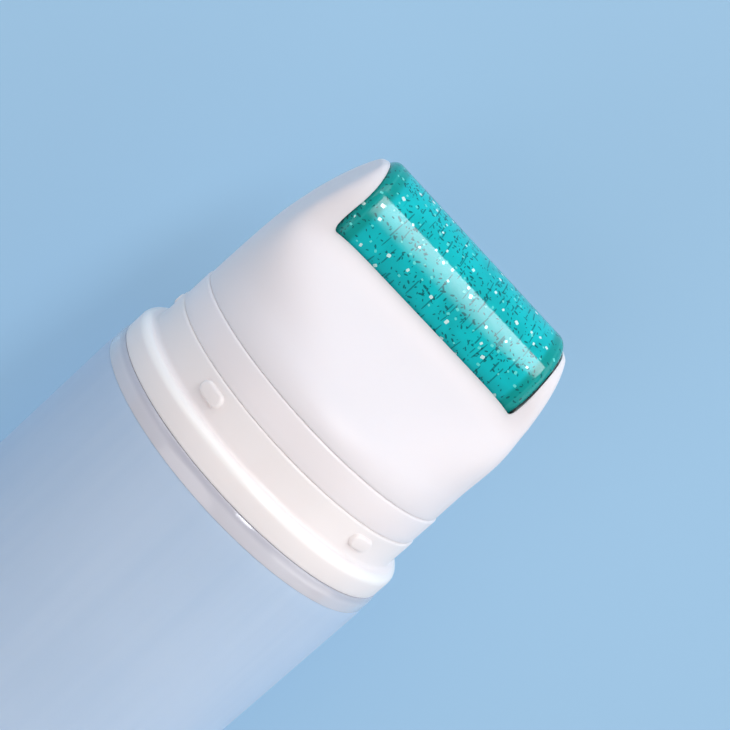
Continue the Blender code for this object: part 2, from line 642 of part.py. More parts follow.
def turn_ring():
    """The plain band under the head: it turns on the tower and carries the head and the valve disc."""
    look = make_material("ring_white", (0.88, 0.86, 0.87), 0.32)
    ring = turned_piece("turn_ring", ring_profile(), HEAD_AXIS, look, closed=False)
    rib_mesh = block_mesh("stop_rib", (SPIGOT_RADIUS - SEAT_GAP, -STOP_WIDTH / 2, RING_BASE + 2 * SEAT_GAP),
                          (RING_INNER_RADIUS + SEAT_GAP, STOP_WIDTH / 2, RING_TOP - RING_WEB + SEAT_GAP))
    rib = add_cutter("stop_rib", rib_mesh, HEAD_AXIS)
    rib.rotation_euler.z = math.radians(STOP_AZIMUTH)
    combine(ring, rib, 'UNION')
    hole = turned_cutter("ring_port", rod_profile(PORT_RADIUS, PLATE_HEIGHT - OVERRUN, PLATE_TOP + OVERRUN),
                         HEAD_AXIS, steps=SMALL_STEPS)
    hole.location.y = -PORT_OFFSET
    combine(ring, hole, 'DIFFERENCE')
    return ring


def climb(height):
    """Share of the way from the head's base to its lip, 0 to 1."""
    return min(1.0, max(0.0, (height - HEAD_BASE) / (LIP_HEIGHT - HEAD_BASE)))


def face_share(height):
    """Share of the face's lean taken up at a height: it bends in, runs straight and bends out."""
    stretch = EAR_FACE_START - HEAD_BASE
    whole = stretch - (BASE_EASE + EAR_EASE) / 2
    run = min(stretch, max(0.0, height - HEAD_BASE))
    if run < BASE_EASE:
        return run ** 2 / (2 * BASE_EASE) / whole
    if run < stretch - EAR_EASE:
        return (run - BASE_EASE / 2) / whole
    return 1 - (stretch - run) ** 2 / (2 * EAR_EASE) / whole


def head_half_depth(height):
    """Half depth of the head: a leaning face, then the ears' upright faces and rounded arch."""
    if height > EAR_ARCH_START:
        share = min(1.0, (height - EAR_ARCH_START) / (EAR_TOP - EAR_ARCH_START))
        return EAR_HALF_DEPTH * (1 - share ** EAR_ARCH_POWER) ** (1 / EAR_ARCH_POWER)
    return HEAD_RADIUS + (EAR_HALF_DEPTH - HEAD_RADIUS) * face_share(height)


def head_half_width(height):
    """Half width of the head: sides that draw in more and more towards the ears' tips."""
    share = (height - HEAD_BASE) / (EAR_TOP - HEAD_BASE)
    return HEAD_RADIUS - HEAD_TAPER * max(0.0, share) ** HEAD_TAPER_POWER


def head_power(height):
    """Section power of the head: from a circle at its base to a rounded rectangle at the lip."""
    return HEAD_BASE_POWER + (HEAD_TOP_POWER - HEAD_BASE_POWER) * climb(height) ** HEAD_POWER_RISE


def head_rings():
    """Sections of the head's outside, closer together over the ears' arch."""
    rise = EAR_FACE_START - HEAD_BASE
    heights = [HEAD_BASE + rise * step / WEDGE_STEPS for step in range(WEDGE_STEPS + 1)]
    heights.append(EAR_ARCH_START)
    rings = [section_ring(head_half_width(height), head_half_depth(height), head_power(height), height)
             for height in heights]
    for step in range(1, ARCH_STEPS + 1):
        share = math.sin(math.pi / 2 * step / (ARCH_STEPS + 1))
        height = EAR_ARCH_START + (EAR_TOP - EAR_ARCH_START) * share
        edge = max(0.0, 1 - (EAR_TOP - height) / EAR_EDGE)
        width = head_half_width(height) - EAR_EDGE * edge ** 2
        rings.append(section_ring(width, head_half_depth(height), HEAD_TOP_POWER, height))
    return rings


def hollow_rings(inset, low, high, steps=WEDGE_STEPS):
    """Sections of the space inside the head, narrowing to the roller's length between the ears."""
    rings = []
    for step in range(steps + 1):
        height = low + (high - low) * step / steps
        share = (height - INSERT_BASE) / (HOLLOW_TOP - INSERT_BASE)
        share = min(1.0, max(0.0, share))
        narrowing = share * share * (3 - 2 * share)
        width = HOLLOW_HALF_WIDTH + (HOLLOW_TOP_HALF_WIDTH - HOLLOW_HALF_WIDTH) * narrowing
        depth = min(head_half_depth(height) - HEAD_WALL * (1 + share * (1 - share)), HOLLOW_HALF_WIDTH)
        rings.append(section_ring(width - inset, depth - inset, head_power(height), height))
    return rings


def roller_cavity(name, parent):
    """The space the roller turns in, as a cutter."""
    profile = rounded_rod_profile(CAVITY_RADIUS, CAVITY_HALF_LENGTH, CAVITY_FILLET)
    return turned_cutter(name, profile, parent, steps=ROUND_STEPS)


def roller_head():
    """The wedge-shaped shell with a straight lip in front and behind and two ears for the roller."""
    look = make_material("head_white", (0.93, 0.92, 0.94), 0.35)
    head = add_piece("roller_head", loft_mesh("roller_head", head_rings()), HEAD_AXIS, look)
    snap_groove = SPIGOT_SNAP_REACH
    snap_low = SPIGOT_SNAP_HEIGHT - HEAD_SNAP_HEIGHT / 2
    snap_high = SPIGOT_SNAP_HEIGHT + HEAD_SNAP_HEIGHT / 2 + SEAT_GAP
    bore_top = PLATE_TOP + SEAT_GAP + OVERRUN / 2
    bore = [(0.0, bore_top), (HEAD_BORE_RADIUS, bore_top), (HEAD_BORE_RADIUS, snap_high),
            (HEAD_BORE_RADIUS + snap_groove, snap_high - snap_groove),
            (HEAD_BORE_RADIUS + snap_groove, snap_low + snap_groove), (HEAD_BORE_RADIUS, snap_low),
            (HEAD_BORE_RADIUS, HEAD_BASE - OVERRUN), (0.0, HEAD_BASE - OVERRUN)]
    combine(head, turned_cutter("head_bore", bore, HEAD_AXIS), 'DIFFERENCE')
    hollow = loft_mesh("head_hollow", hollow_rings(0.0, PLATE_TOP, HOLLOW_TOP))
    combine(head, add_cutter("head_hollow", hollow, HEAD_AXIS), 'DIFFERENCE')
    combine(head, roller_cavity("head_cavity", ROLLER_AXIS), 'DIFFERENCE')
    pocket_end = BUSH_END + SEAT_GAP
    pocket_radius = BUSH_RADIUS + SEAT_GAP
    for side, sign in (("left", -1), ("right", 1)):
        low, high = sorted((sign * (CAVITY_HALF_LENGTH - OVERRUN), sign * pocket_end))
        pocket = turned_cutter(f"pocket_{side}", rod_profile(pocket_radius, low, high), ROLLER_AXIS,
                               steps=SMALL_STEPS)
        combine(head, pocket, 'DIFFERENCE')
    return head


def flow_insert():
    """The pan under the roller: a trough with feed holes over the space that the valve fills."""
    look = make_material("insert_white", (0.86, 0.86, 0.86), 0.5)
    rings = hollow_rings(SEAT_GAP, INSERT_BASE, INSERT_TOP)
    insert = add_piece("flow_insert", loft_mesh("flow_insert", rings), HEAD_AXIS, look)
    combine(insert, roller_cavity("insert_trough", ROLLER_AXIS), 'DIFFERENCE')
    floor = TROUGH_HEIGHT - INSERT_FLOOR
    plenum = hollow_rings(SEAT_GAP + INSERT_WALL, INSERT_BASE - OVERRUN, floor, PLENUM_STEPS)
    combine(insert, add_cutter("plenum", loft_mesh("plenum", plenum), HEAD_AXIS), 'DIFFERENCE')
    for count in range(FEED_COUNT):
        hole = turned_cutter(f"feed_hole_{count + 1}",
                             rod_profile(FEED_RADIUS, floor - OVERRUN, TROUGH_HEIGHT + OVERRUN),
                             HEAD_AXIS, steps=SMALL_STEPS // 2)
        hole.location.x = FEED_SPACING * (count - (FEED_COUNT - 1) / 2)
        combine(insert, hole, 'DIFFERENCE')
    return insert


def roller():
    """The resin roller with a blind bore in each end for its pins."""
    look = make_material("turquoise_resin", (0.02, 0.62, 0.60), 0.08, transmission=0.3)
    bore = PIN_RADIUS + SEAT_GAP
    bore_floor = ROLLER_HALF_LENGTH - PIN_IN_ROLLER - SEAT_GAP
    outline = rounded_rod_profile(ROLLER_RADIUS, ROLLER_HALF_LENGTH, ROLLER_FILLET)[1:-1]
    upper = [(0.0, bore_floor), (bore, bore_floor), (bore, ROLLER_HALF_LENGTH)]
    lower = [(bore, -ROLLER_HALF_LENGTH), (bore, -bore_floor), (0.0, -bore_floor)]
    return turned_piece("roller", upper + outline + lower, ROLLER_AXIS, look, closed=False)


def pivot(side, sign):
    """One pin, pressed into the roller's end, and the bush that it turns in."""
    steel = make_material(f"pin_steel_{side}", (0.72, 0.73, 0.75), 0.3, metallic=1.0)
    low, high = sorted((sign * (ROLLER_HALF_LENGTH - PIN_IN_ROLLER), sign * BUSH_END))
    turned_piece(f"pivot_pin_{side}", rod_profile(PIN_RADIUS, low, high, PIN_EDGE), ROLLER_AXIS, steel,
                 closed=False, steps=SMALL_STEPS)
    plastic = make_material(f"bush_plastic_{side}", (0.80, 0.80, 0.78), 0.45)
    low, high = sorted((sign * BUSH_START, sign * BUSH_END))
    profile = [(BUSH_BORE_RADIUS, high), (BUSH_RADIUS - BUSH_EDGE, high), (BUSH_RADIUS, high - BUSH_EDGE),
               (BUSH_RADIUS, low + BUSH_EDGE), (BUSH_RADIUS - BUSH_EDGE, low), (BUSH_BORE_RADIUS, low)]
    turned_piece(f"pivot_bush_{side}", profile, ROLLER_AXIS, plastic, steps=SMALL_STEPS)


clear_scene()
PARTS = make_collection("roller_applicator_tube")
CUTTERS = make_collection("cutters")

# The tube lies on its back with the roller towards -Y, its front face up and its middle over the origin.
TUBE_AXIS = make_empty("tube_axis", location=(0, (TIP_HEIGHT + TAIL_HEIGHT) / 2, REST_HEIGHT),
                       rotation=(math.pi / 2, math.pi, 0))
HEAD_AXIS = make_empty("head_axis", TUBE_AXIS)
ROLLER_AXIS = make_empty("roller_axis", HEAD_AXIS, location=(0, 0, ROLLER_HEIGHT),
                         rotation=(0, math.pi / 2, 0))

tube_sleeve()
tube_shoulder()
neck_gasket()
base_collar()
RUBBER = make_material("seal_rubber", (0.78, 0.80, 0.82), 0.5)
seal_ring("turn_seal", TURN_SEAL_RADIUS, TURN_SEAL_HEIGHT, TUBE_AXIS, RUBBER)
seal_ring("head_seal", HEAD_SEAL_RADIUS, HEAD_SEAL_HEIGHT, HEAD_AXIS, RUBBER.copy())
valve_disc()
turn_ring()
roller_head()
flow_insert()
roller()
pivot("left", -1)
pivot("right", 1)
bpy.context.view_layer.update()
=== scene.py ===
import math

import bmesh
import bpy
from mathutils import Euler, Matrix, Vector


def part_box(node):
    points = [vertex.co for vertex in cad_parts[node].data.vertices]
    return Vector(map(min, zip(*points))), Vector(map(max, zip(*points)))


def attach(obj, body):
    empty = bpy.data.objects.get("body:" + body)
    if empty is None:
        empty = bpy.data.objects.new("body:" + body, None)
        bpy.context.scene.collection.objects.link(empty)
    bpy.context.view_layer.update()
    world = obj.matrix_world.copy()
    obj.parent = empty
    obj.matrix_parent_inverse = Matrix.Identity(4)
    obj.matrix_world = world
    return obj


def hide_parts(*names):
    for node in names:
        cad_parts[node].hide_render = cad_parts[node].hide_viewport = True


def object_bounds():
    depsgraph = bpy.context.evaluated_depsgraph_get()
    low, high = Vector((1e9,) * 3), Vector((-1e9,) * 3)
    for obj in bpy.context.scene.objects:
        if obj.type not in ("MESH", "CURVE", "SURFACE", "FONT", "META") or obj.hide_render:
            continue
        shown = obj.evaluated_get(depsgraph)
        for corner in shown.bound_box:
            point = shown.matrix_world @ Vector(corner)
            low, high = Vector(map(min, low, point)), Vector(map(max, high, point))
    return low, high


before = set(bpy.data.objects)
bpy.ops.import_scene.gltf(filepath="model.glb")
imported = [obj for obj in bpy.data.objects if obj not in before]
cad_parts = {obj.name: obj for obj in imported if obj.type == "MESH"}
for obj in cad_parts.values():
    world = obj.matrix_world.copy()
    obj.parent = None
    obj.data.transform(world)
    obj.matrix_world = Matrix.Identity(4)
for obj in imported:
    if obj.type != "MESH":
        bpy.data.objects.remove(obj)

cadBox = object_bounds()

# Each piece is modelled in millimetres round the tube's own axis: the flange's lower edge at height 0,
# the roller at the top and the front towards -Y. layDown then puts it where the frame has it.
milli = 0.001
rollerHeight = 32.95
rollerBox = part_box("roller")
axisY = (rollerBox[0][1] + rollerBox[1][1]) / 2 + rollerHeight * milli
axisZ = (rollerBox[0][2] + rollerBox[1][2]) / 2
lying = (Matrix.Translation((0, axisY, axisZ)) @ Euler((math.pi / 2, math.pi, 0)).to_matrix().to_4x4()
         @ Matrix.Scale(milli, 4))
sharpAngle = 30.0   # degrees between faces, above which an edge stays sharp
overrun = 0.5       # how far a cutter passes the face that it cuts
edgeSteps = 6       # steps round a quarter of an edge that shows
innerEdgeSteps = 4  # and of one inside
rodSteps = 48       # round the ports and the bushes' pockets
blockEdge = 0.12    # the bevel on the stop blocks and the rib
bevelSegments = 2


# Shader helpers

class Wire:
    # one output socket, so that shader maths reads like ordinary maths
    def __init__(self, finish, socket):
        self.finish = finish
        self.socket = socket

    def sibling(self, output):
        # another output of the same node
        return Wire(self.finish, self.socket.node.outputs[output])

    def math(self, operation, *others):
        values = dict(enumerate((self,) + others))
        return self.finish.add("Math", {"operation": operation}, values)

    def vector(self, operation, *others):
        values = dict(enumerate((self,) + others))
        output = 1 if operation in ('DOT_PRODUCT', 'LENGTH') else 0
        return self.finish.add("VectorMath", {"operation": operation}, values, output)

    def dot(self, other):
        return self.vector('DOT_PRODUCT', other)

    def __add__(self, other):
        return self.math('ADD', other)

    __radd__ = __add__

    def __sub__(self, other):
        return self.math('SUBTRACT', other)

    def __rsub__(self, other):
        return self.finish.add("Math", {"operation": 'SUBTRACT'}, {0: other, 1: self})

    def __mul__(self, other):
        return self.math('MULTIPLY', other)

    __rmul__ = __mul__

    def __truediv__(self, other):
        return self.math('DIVIDE', other)

    def __rtruediv__(self, other):
        return self.finish.add("Math", {"operation": 'DIVIDE'}, {0: other, 1: self})

    def __abs__(self):
        return self.math('ABSOLUTE')

    def below(self, other):
        return self.math('LESS_THAN', other)

    def ramp(self, low, high):
        # 0 at low, 1 at high, eased between
        return self.finish.add("MapRange", {"interpolation_type": 'SMOOTHSTEP'},
                               {"Value": self, "From Min": low, "From Max": high})


class Finish:
    # the nodes round one shader of a material, a lamp or the world; its constant sockets are set first
    def __init__(self, owner, shader, constants=None):
        owner.use_nodes = True
        self.owner = owner
        self.tree = owner.node_tree
        self.shader = self.tree.nodes[shader]
        for socket, value in (constants or {}).items():
            self.shader.inputs[socket].default_value = value

    def plug(self, socket, value):
        if isinstance(value, Wire):
            self.tree.links.new(value.socket, socket)
        else:
            socket.default_value = value

    def add(self, kind, settings=None, values=None, output=0):
        node = self.tree.nodes.new("ShaderNode" + kind)
        for key, value in (settings or {}).items():
            setattr(node, key, value)
        for key, value in (values or {}).items():
            self.plug(node.inputs[key], value)
        return Wire(self, node.outputs[output])

    def place(self):
        # the point on the surface in millimetres, in the piece's own frame
        point = self.add("TexCoord", output="Object")
        return self.add("VectorMath", {"operation": 'SCALE'}, {0: point, "Scale": 1 / milli})

    def noise(self, vector, size, detail=2.0, distortion=0.0):
        return self.add("TexNoise", None, {"Vector": vector, "Scale": 1 / size, "Detail": detail,
                                           "Distortion": distortion})

    def mix(self, factor, first, second):
        # between two colours, each a wire or a plain red, green and blue
        first, second = [end if isinstance(end, Wire) else (*end, 1) for end in (first, second)]
        return self.add("Mix", {"data_type": 'RGBA'}, {0: factor, 6: first, 7: second}, 2)

    def bump(self, height, depth):
        # depth in millimetres
        return self.add("Bump", None, {"Height": height, "Distance": depth * milli})

    def feed(self, **links):
        for socket, value in links.items():
            self.plug(self.shader.inputs[socket.replace("_", " ")], value)


def newMaterial(name, color, sockets):
    material = bpy.data.materials.new(name)
    material.diffuse_color = (*color, 1)
    return Finish(material, "Principled BSDF", {"Base Color": (*color, 1), **sockets})


def toned(color, shade):
    return [value * shade for value in color]


moulding = {
    "sockets": {"IOR": 1.49, "Subsurface Weight": 0.35, "Subsurface Radius": (1.0, 0.92, 0.86),
                "Subsurface Scale": 1.2 * milli},
    "cloudSize": 14.0, "satinSize": 11.0, "satinStretch": (1.0, 0.5, 1.0), "satinSwing": 0.05,
    "grainSize": 0.30}


def plastic(name, color, shade, roughness, grain, sockets=None):
    # moulded plastic: a faint cloudiness, slow satin patches and a fine moulded grain
    m = moulding
    finish = newMaterial(name, color, {**m["sockets"], **(sockets or {})})
    place = finish.place()
    cloud = finish.noise(place, m["cloudSize"], detail=0.0)
    satin = finish.noise(place.vector('MULTIPLY', m["satinStretch"]), m["satinSize"], detail=0.0)
    fine = finish.noise(place, m["grainSize"], detail=1.0)
    finish.tone = finish.mix(cloud, toned(color, shade), color)
    finish.feed(Base_Color=finish.tone, Roughness=roughness + m["satinSwing"] * (satin - 0.5),
                Normal=finish.bump(fine, grain))
    return finish


# Mesh helpers

def newPiece(name, mesh):
    piece = bpy.data.objects.new(name, mesh)
    bpy.context.scene.collection.objects.link(piece)
    return piece


def meshFrom(name, shape):
    mesh = bpy.data.meshes.new(name)
    shape.to_mesh(mesh)
    shape.free()
    return mesh


def arc(centerRadius, centerHeight, radius, start, stop, steps):
    # points from one angle to another, in degrees
    points = []
    for step in range(steps + 1):
        angle = math.radians(start + (stop - start) * step / steps)
        points.append((centerRadius + radius * math.cos(angle), centerHeight + radius * math.sin(angle)))
    return points


def topEdge(radius, height, edge, steps=edgeSteps):
    return arc(radius - edge, height - edge, edge, 90, 0, steps)


def footEdge(radius, height, edge, steps=edgeSteps):
    return arc(radius - edge, height + edge, edge, 0, -90, steps)


def rootFillet(radius, height, size, steps=edgeSteps):
    return arc(radius + size, height + size, size, 180, 270, steps)


def smooth(share):
    share = min(1.0, max(0.0, share))
    return share * share * (3 - 2 * share)


def meshFromRings(name, rings):
    # a skin over rings of equal count, capped at both ends
    shape = bmesh.new()
    rows = [[shape.verts.new(point) for point in ring] for ring in rings]
    for lower, upper in zip(rows, rows[1:]):
        for index in range(len(lower)):
            following = (index + 1) % len(lower)
            shape.faces.new((lower[index], lower[following], upper[following], upper[index]))
    shape.faces.new(reversed(rows[0]))
    shape.faces.new(rows[-1])
    bmesh.ops.recalc_face_normals(shape, faces=shape.faces)
    return meshFrom(name, shape)


def turnedMesh(name, profile, steps, closed=False):
    # a profile of (radius, height) points, or a function of the turn that gives it, turned round the
    # axis; an open one starts and ends on the axis
    shape = bmesh.new()
    turns = [2 * math.pi * (step + 0.5) / steps for step in range(steps)]
    outlines = [profile(turn) if callable(profile) else profile for turn in turns]
    rows = []
    for points in zip(*outlines):
        if points[0][0] == 0.0:
            rows.append([shape.verts.new((0, 0, points[0][1]))])
            continue
        rows.append([shape.verts.new((radius * math.cos(turn), radius * math.sin(turn), height))
                     for turn, (radius, height) in zip(turns, points)])
    pairs = list(zip(rows, rows[1:]))
    if closed:
        pairs.append((rows[-1], rows[0]))
    for first, second in pairs:
        for index in range(steps):
            following = (index + 1) % steps
            if len(first) == 1:
                shape.faces.new((first[0], second[index], second[following]))
            elif len(second) == 1:
                shape.faces.new((first[index], second[0], first[following]))
            else:
                shape.faces.new((first[index], second[index], second[following], first[following]))
    bmesh.ops.recalc_face_normals(shape, faces=shape.faces)
    return meshFrom(name, shape)


def rodMesh(radius, low, high):
    return turnedMesh("rod", [(0.0, high), (radius, high), (radius, low), (0.0, low)], rodSteps)


def blockMesh(low, high):
    shape = bmesh.new()
    bmesh.ops.create_cube(shape, size=1.0)
    for vertex in shape.verts:
        for axis in range(3):
            vertex.co[axis] = (low[axis] + high[axis]) / 2 + vertex.co[axis] * (high[axis] - low[axis])
    bmesh.ops.bevel(shape, geom=shape.edges, offset=blockEdge, segments=bevelSegments, affect='EDGES')
    return meshFrom("block", shape)


def turnedBy(azimuth):
    return Matrix.Rotation(azimuth, 4, 'Z')


def keepModifiers(piece):
    evaluated = piece.evaluated_get(bpy.context.evaluated_depsgraph_get())
    mesh = bpy.data.meshes.new_from_object(evaluated)
    piece.modifiers.clear()
    piece.data = mesh


def combine(piece, mesh, operation, matrix=None):
    tool = newPiece("tool", mesh)
    tool.matrix_world = matrix or Matrix()
    boolean = piece.modifiers.new("Combine", 'BOOLEAN')
    boolean.operation = operation
    boolean.solver = 'EXACT'
    boolean.object = tool
    bpy.context.view_layer.update()
    keepModifiers(piece)
    bpy.data.objects.remove(tool, do_unlink=True)


def layDown(piece, body, finish, node):
    # shades a finished piece, puts it in the frame's place under its body and hides the frame's node that
    # it stands for
    mesh = piece.data
    mesh.transform(lying)
    mesh.materials.clear()
    mesh.materials.append(finish.owner)
    mesh.shade_smooth()
    mesh.set_sharp_from_angle(angle=math.radians(sharpAngle))
    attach(piece, body)
    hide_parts(node)
    print(piece.name, "made with", len(mesh.polygons), "faces")


# Details that several pieces share

thread = {"steps": 64, "turns": 1.5, "pitch": 3.6, "embed": 0.3, "fade": 10, "startRise": 0.08,
          "rootWidth": 1.4, "crestWidth": 0.7}
sealGroove = {"halfHeight": 0.675, "depth": 1.0}
# a snap bead's outline from its top, as shares of its reach and of its half height
snapShares = ((0.0, 2.0), (0.8, 0.9), (1.0, 0.5), (1.0, -0.5), (0.8, -0.75), (0.0, -1.0))


def threadRidge(name, root, crest, start):
    # a helical ridge of trapezoid section that fades in and out at its ends
    t = thread
    count = round(t["steps"] * t["turns"])
    outward = 1 if crest > root else -1
    base = root - outward * t["embed"]
    wide, narrow = t["rootWidth"] / 2, t["crestWidth"] / 2
    rings = []
    for step in range(count + 1):
        turn = 2 * math.pi * step / t["steps"]
        fade = smooth(min(step, count - step) / t["fade"])
        top = root + (crest - root) * (t["startRise"] + (1 - t["startRise"]) * fade)
        height = start + t["pitch"] * step / t["steps"]
        rings.append([(radius * math.cos(turn), radius * math.sin(turn), height + lift)
                      for radius, lift in ((base, -wide), (base, wide), (top, narrow), (top, -narrow))])
    return meshFromRings(name, rings)


def snapBead(radius, height, reach, half):
    return [(radius + reach * out, height + half * up) for out, up in snapShares]


def groovePoints(radius, height):
    half, bottom = sealGroove["halfHeight"], radius - sealGroove["depth"]
    return [(radius, height + half), (bottom, height + half),
            (bottom, height - half), (radius, height - half)]


def section(halfWidth, halfDepth, power, height, count, flatShare=1.0):
    # a ring that is an oval at power 2 and nears a rectangle as the power grows
    points = []
    for step in range(count):
        angle = (step + 0.5) * 2 * math.pi / count
        across = abs(math.cos(angle)) ** (2 / power)
        through = min(1.0, abs(math.sin(angle)) ** (2 / power) / flatShare)
        points.append((math.copysign(halfWidth * across, math.cos(angle)),
                       math.copysign(halfDepth * through, math.sin(angle)), height))
    return points


# Tube sleeve

sleeve = {
    "radius": 25.0, "wall": 0.6, "mouth": -2.6, "tail": -149.9, "straight": 56.0, "mouthChamfer": 0.12,
    "mouthChamferHeight": 0.15, "lip": 1.6, "lipDraw": 0.1, "lipEdge": 0.05, "lipEdgeShare": 0.12,
    "lipSteps": 9, "belowLip": 1.0, "restFlatStart": -9.1, "restFlatOnset": 4.0, "restSwell": 0.24,
    "restReach": 30.0, "restEase": 22.0, "leastHollow": 0.15, "around": 256, "straightSteps": 24,
    "taperSteps": 40, "halvings": 40, "color": (0.502, 0.641, 0.862), "waist": (0.472, 0.616, 0.842),
    "crimp": {"length": 8.0, "thickness": 1.2, "corner": 1.5, "cornerSteps": 5, "power": 7.0,
              "onsetPower": 4, "flatShare": 0.88, "ridges": 7, "ridgeDepth": 0.10,
              "ridgeShares": ((0.12, 0.0), (0.35, 1.0), (0.65, 1.0), (0.88, 0.0))},
    "film": {
        "sockets": {"IOR": 1.45, "Subsurface Weight": 0.25, "Subsurface Radius": (0.8, 1.0, 1.3),
                    "Subsurface Scale": 3 * milli},
        "streakSize": 2.2, "streakStretch": (1.0, 0.04, 1.0), "cloudSize": 26.0,
        "grainSize": 0.16, "toneRamp": (0.35, 0.65), "roughness": 0.40, "streakRoughness": 0.12,
        "grainLift": 0.25, "streakLift": 0.25, "combLift": 1.4, "combPitch": 0.9, "depth": 0.03,
        "sealColor": (0.56, 0.66, 0.80), "sealShare": 0.35, "sealEase": 0.4}}


def ovalWidth(halfDepth):
    # half width of an oval with the round sleeve's girth, found by halving
    girth = 2 * math.pi * sleeve["radius"]
    low, high = sleeve["radius"] / 2, 2 * sleeve["radius"]
    for _ in range(sleeve["halvings"]):
        middle = (low + high) / 2
        spread = math.sqrt((3 * middle + halfDepth) * (middle + 3 * halfDepth))
        if math.pi * (3 * (middle + halfDepth) - spread) < girth:
            low = middle
        else:
            high = middle
    return (low + high) / 2


def roundSection(radius, height):
    return section(radius, radius, 2, height, sleeve["around"])


def settledSection(radius, height):
    # round, but spread flat where the sleeve lies on the ground at +Y
    s = sleeve
    widen = smooth((s["restFlatStart"] - height) / s["restFlatOnset"])
    ground = axisZ / milli - (s["radius"] - radius)
    ring = []
    for x, y, z in roundSection(radius, height):
        turn = math.degrees(abs(math.atan2(x, y)))
        swell = s["restSwell"] * widen * smooth((s["restReach"] - turn) / s["restEase"])
        x, y = x * (1 + swell / radius), y * (1 + swell / radius)
        if widen > 0:
            y = min(y, ground)
        ring.append((x, y, z))
    return ring


def taperSection(share, inset):
    # from the round sleeve to the crimp; nothing where the walls have met
    s, crimp = sleeve, sleeve["crimp"]
    flat = crimp["thickness"] / 2
    fall = (1 - share) * (1 + share * (1 - share))
    halfDepth = flat + (s["radius"] - flat) * fall
    if halfDepth - inset < s["leastHollow"]:
        return None
    onset = share ** crimp["onsetPower"]
    power = 2 + (crimp["power"] - 2) * onset
    flatShare = 1 - (1 - crimp["flatShare"]) * onset
    start = s["mouth"] - s["straight"]
    stop = s["tail"] + crimp["length"]
    height = start + (stop - start) * share
    width = ovalWidth(halfDepth) - inset
    return section(width, halfDepth - inset, power, height, s["around"], flatShare)


def sleeveSkin(inset):
    s, radius = sleeve, sleeve["radius"] - inset
    steps = s["straightSteps"]
    start = s["mouth"] - s["straight"]
    first = s["mouth"] - s["lip"] - s["belowLip"]
    rings = [settledSection(radius, first + (start - first) * step / steps) for step in range(steps + 1)]
    shares = [step / s["taperSteps"] for step in range(1, s["taperSteps"] + 1)]
    tapered = [taperSection(share, inset) for share in shares]
    return rings + [ring for ring in tapered if ring]


def crimpRings():
    # the pressed seal: cross ridges from the jaws, then a plain cut end with rounded corners
    c = sleeve["crimp"]
    flat = c["thickness"] / 2
    width = ovalWidth(flat)
    top = sleeve["tail"] + c["length"]
    pitch = (c["length"] - c["corner"]) / c["ridges"]
    outline = []
    for ridge in range(c["ridges"]):
        for share, sink in c["ridgeShares"]:
            outline.append((width, flat - sink * c["ridgeDepth"], top - pitch * (ridge + share)))
    for step in range(c["cornerSteps"] + 1):
        angle = math.pi / 2 * step / c["cornerSteps"]
        outline.append((width - c["corner"] * (1 - math.cos(angle)), flat,
                        sleeve["tail"] + c["corner"] * (1 - math.sin(angle))))
    return [section(halfWidth, halfDepth, c["power"], height, sleeve["around"], c["flatShare"])
            for halfWidth, halfDepth, height in outline]


def frostedFilm():
    # milky film: soft streaks along the extrusion, a fine matt grain and the jaws' lines on the seal
    f = sleeve["film"]
    finish = newMaterial("frosted polyethylene", sleeve["color"], f["sockets"])
    place = finish.place()
    streak = finish.noise(place.vector('MULTIPLY', f["streakStretch"]), f["streakSize"], detail=3.0)
    cloud = finish.noise(place, f["cloudSize"])
    grain = finish.noise(place, f["grainSize"])
    along = place.dot((0, 1, 0))
    across = place.dot((1, 0, 0))
    sealStart = axisY / milli - sleeve["tail"] - sleeve["crimp"]["length"]
    seal = along.ramp(sealStart, sealStart + f["sealEase"])
    comb = (across * (2 * math.pi / f["combPitch"])).math('SINE') * 0.5 + 0.5
    tone = (streak * 0.5 + cloud * 0.5).ramp(*f["toneRamp"])
    color = finish.mix(tone, sleeve["waist"], sleeve["color"])
    relief = grain * f["grainLift"] + streak * f["streakLift"] + comb * seal * f["combLift"]
    finish.feed(Base_Color=finish.mix(seal * f["sealShare"], color, f["sealColor"]),
                Roughness=f["roughness"] + f["streakRoughness"] * streak,
                Normal=finish.bump(relief, f["depth"]))
    return finish


def makeSleeve():
    s, mouth = sleeve, sleeve["mouth"]
    bore = s["radius"] - s["wall"]
    rings = list(reversed(sleeveSkin(s["wall"])))
    rings.append(roundSection(bore, mouth - s["mouthChamferHeight"]))
    rings.append(roundSection(bore + s["mouthChamfer"], mouth))
    for step in range(s["lipSteps"] + 1):
        share = step / s["lipSteps"]
        draw = s["lipDraw"] * (1 - share) ** 2
        edge = s["lipEdge"] * (1 - min(1.0, share / s["lipEdgeShare"])) ** 2
        rings.append(roundSection(s["radius"] - draw - edge, mouth - s["lip"] * share))
    rings += sleeveSkin(0.0) + crimpRings()
    piece = newPiece("tubeSleeve", meshFromRings("tubeSleeve", rings))
    layDown(piece, "tube", frostedFilm(), "tube_sleeve")


# Tube shoulder

shoulder = {
    "rimRadius": 24.93, "rimNeck": 24.45, "rimSwell": 1.5, "rimFlat": 1.0, "rimFoot": 0.03,
    "rimSteps": 12, "top": -0.02, "step": -2.6, "thickness": 2.4, "deckFillet": 1.0,
    "deckFilletSteps": 5, "skirtRadius": 24.1, "skirtLength": 5.5, "skirtWall": 1.2,
    "skirtEdge": 0.3, "skirtInnerEdge": 0.2, "neckRadius": 13.4, "neckBore": 11.6, "neckTop": 10.5,
    "neckEdge": 0.3, "neckBoreEdge": 0.2, "neckFillet": 0.4, "threadDepth": 1.2,
    # painted shade: the rim's darker colour under the flange, and the heights over which it fades out
    "threadStart": 1.8, "around": 224, "paintedShadeColor": (0.64, 0.63, 0.71),
    "paintedShadeRamp": (0.375, 1.125),
    "look": {"color": (0.82, 0.80, 0.87), "shade": 0.97, "roughness": 0.16, "grain": 0.0006,
             "sockets": {"Subsurface Weight": 0.3, "Transmission Weight": 0.2, "Coat Weight": 0.9,
                         "Coat Roughness": 0.05}}}


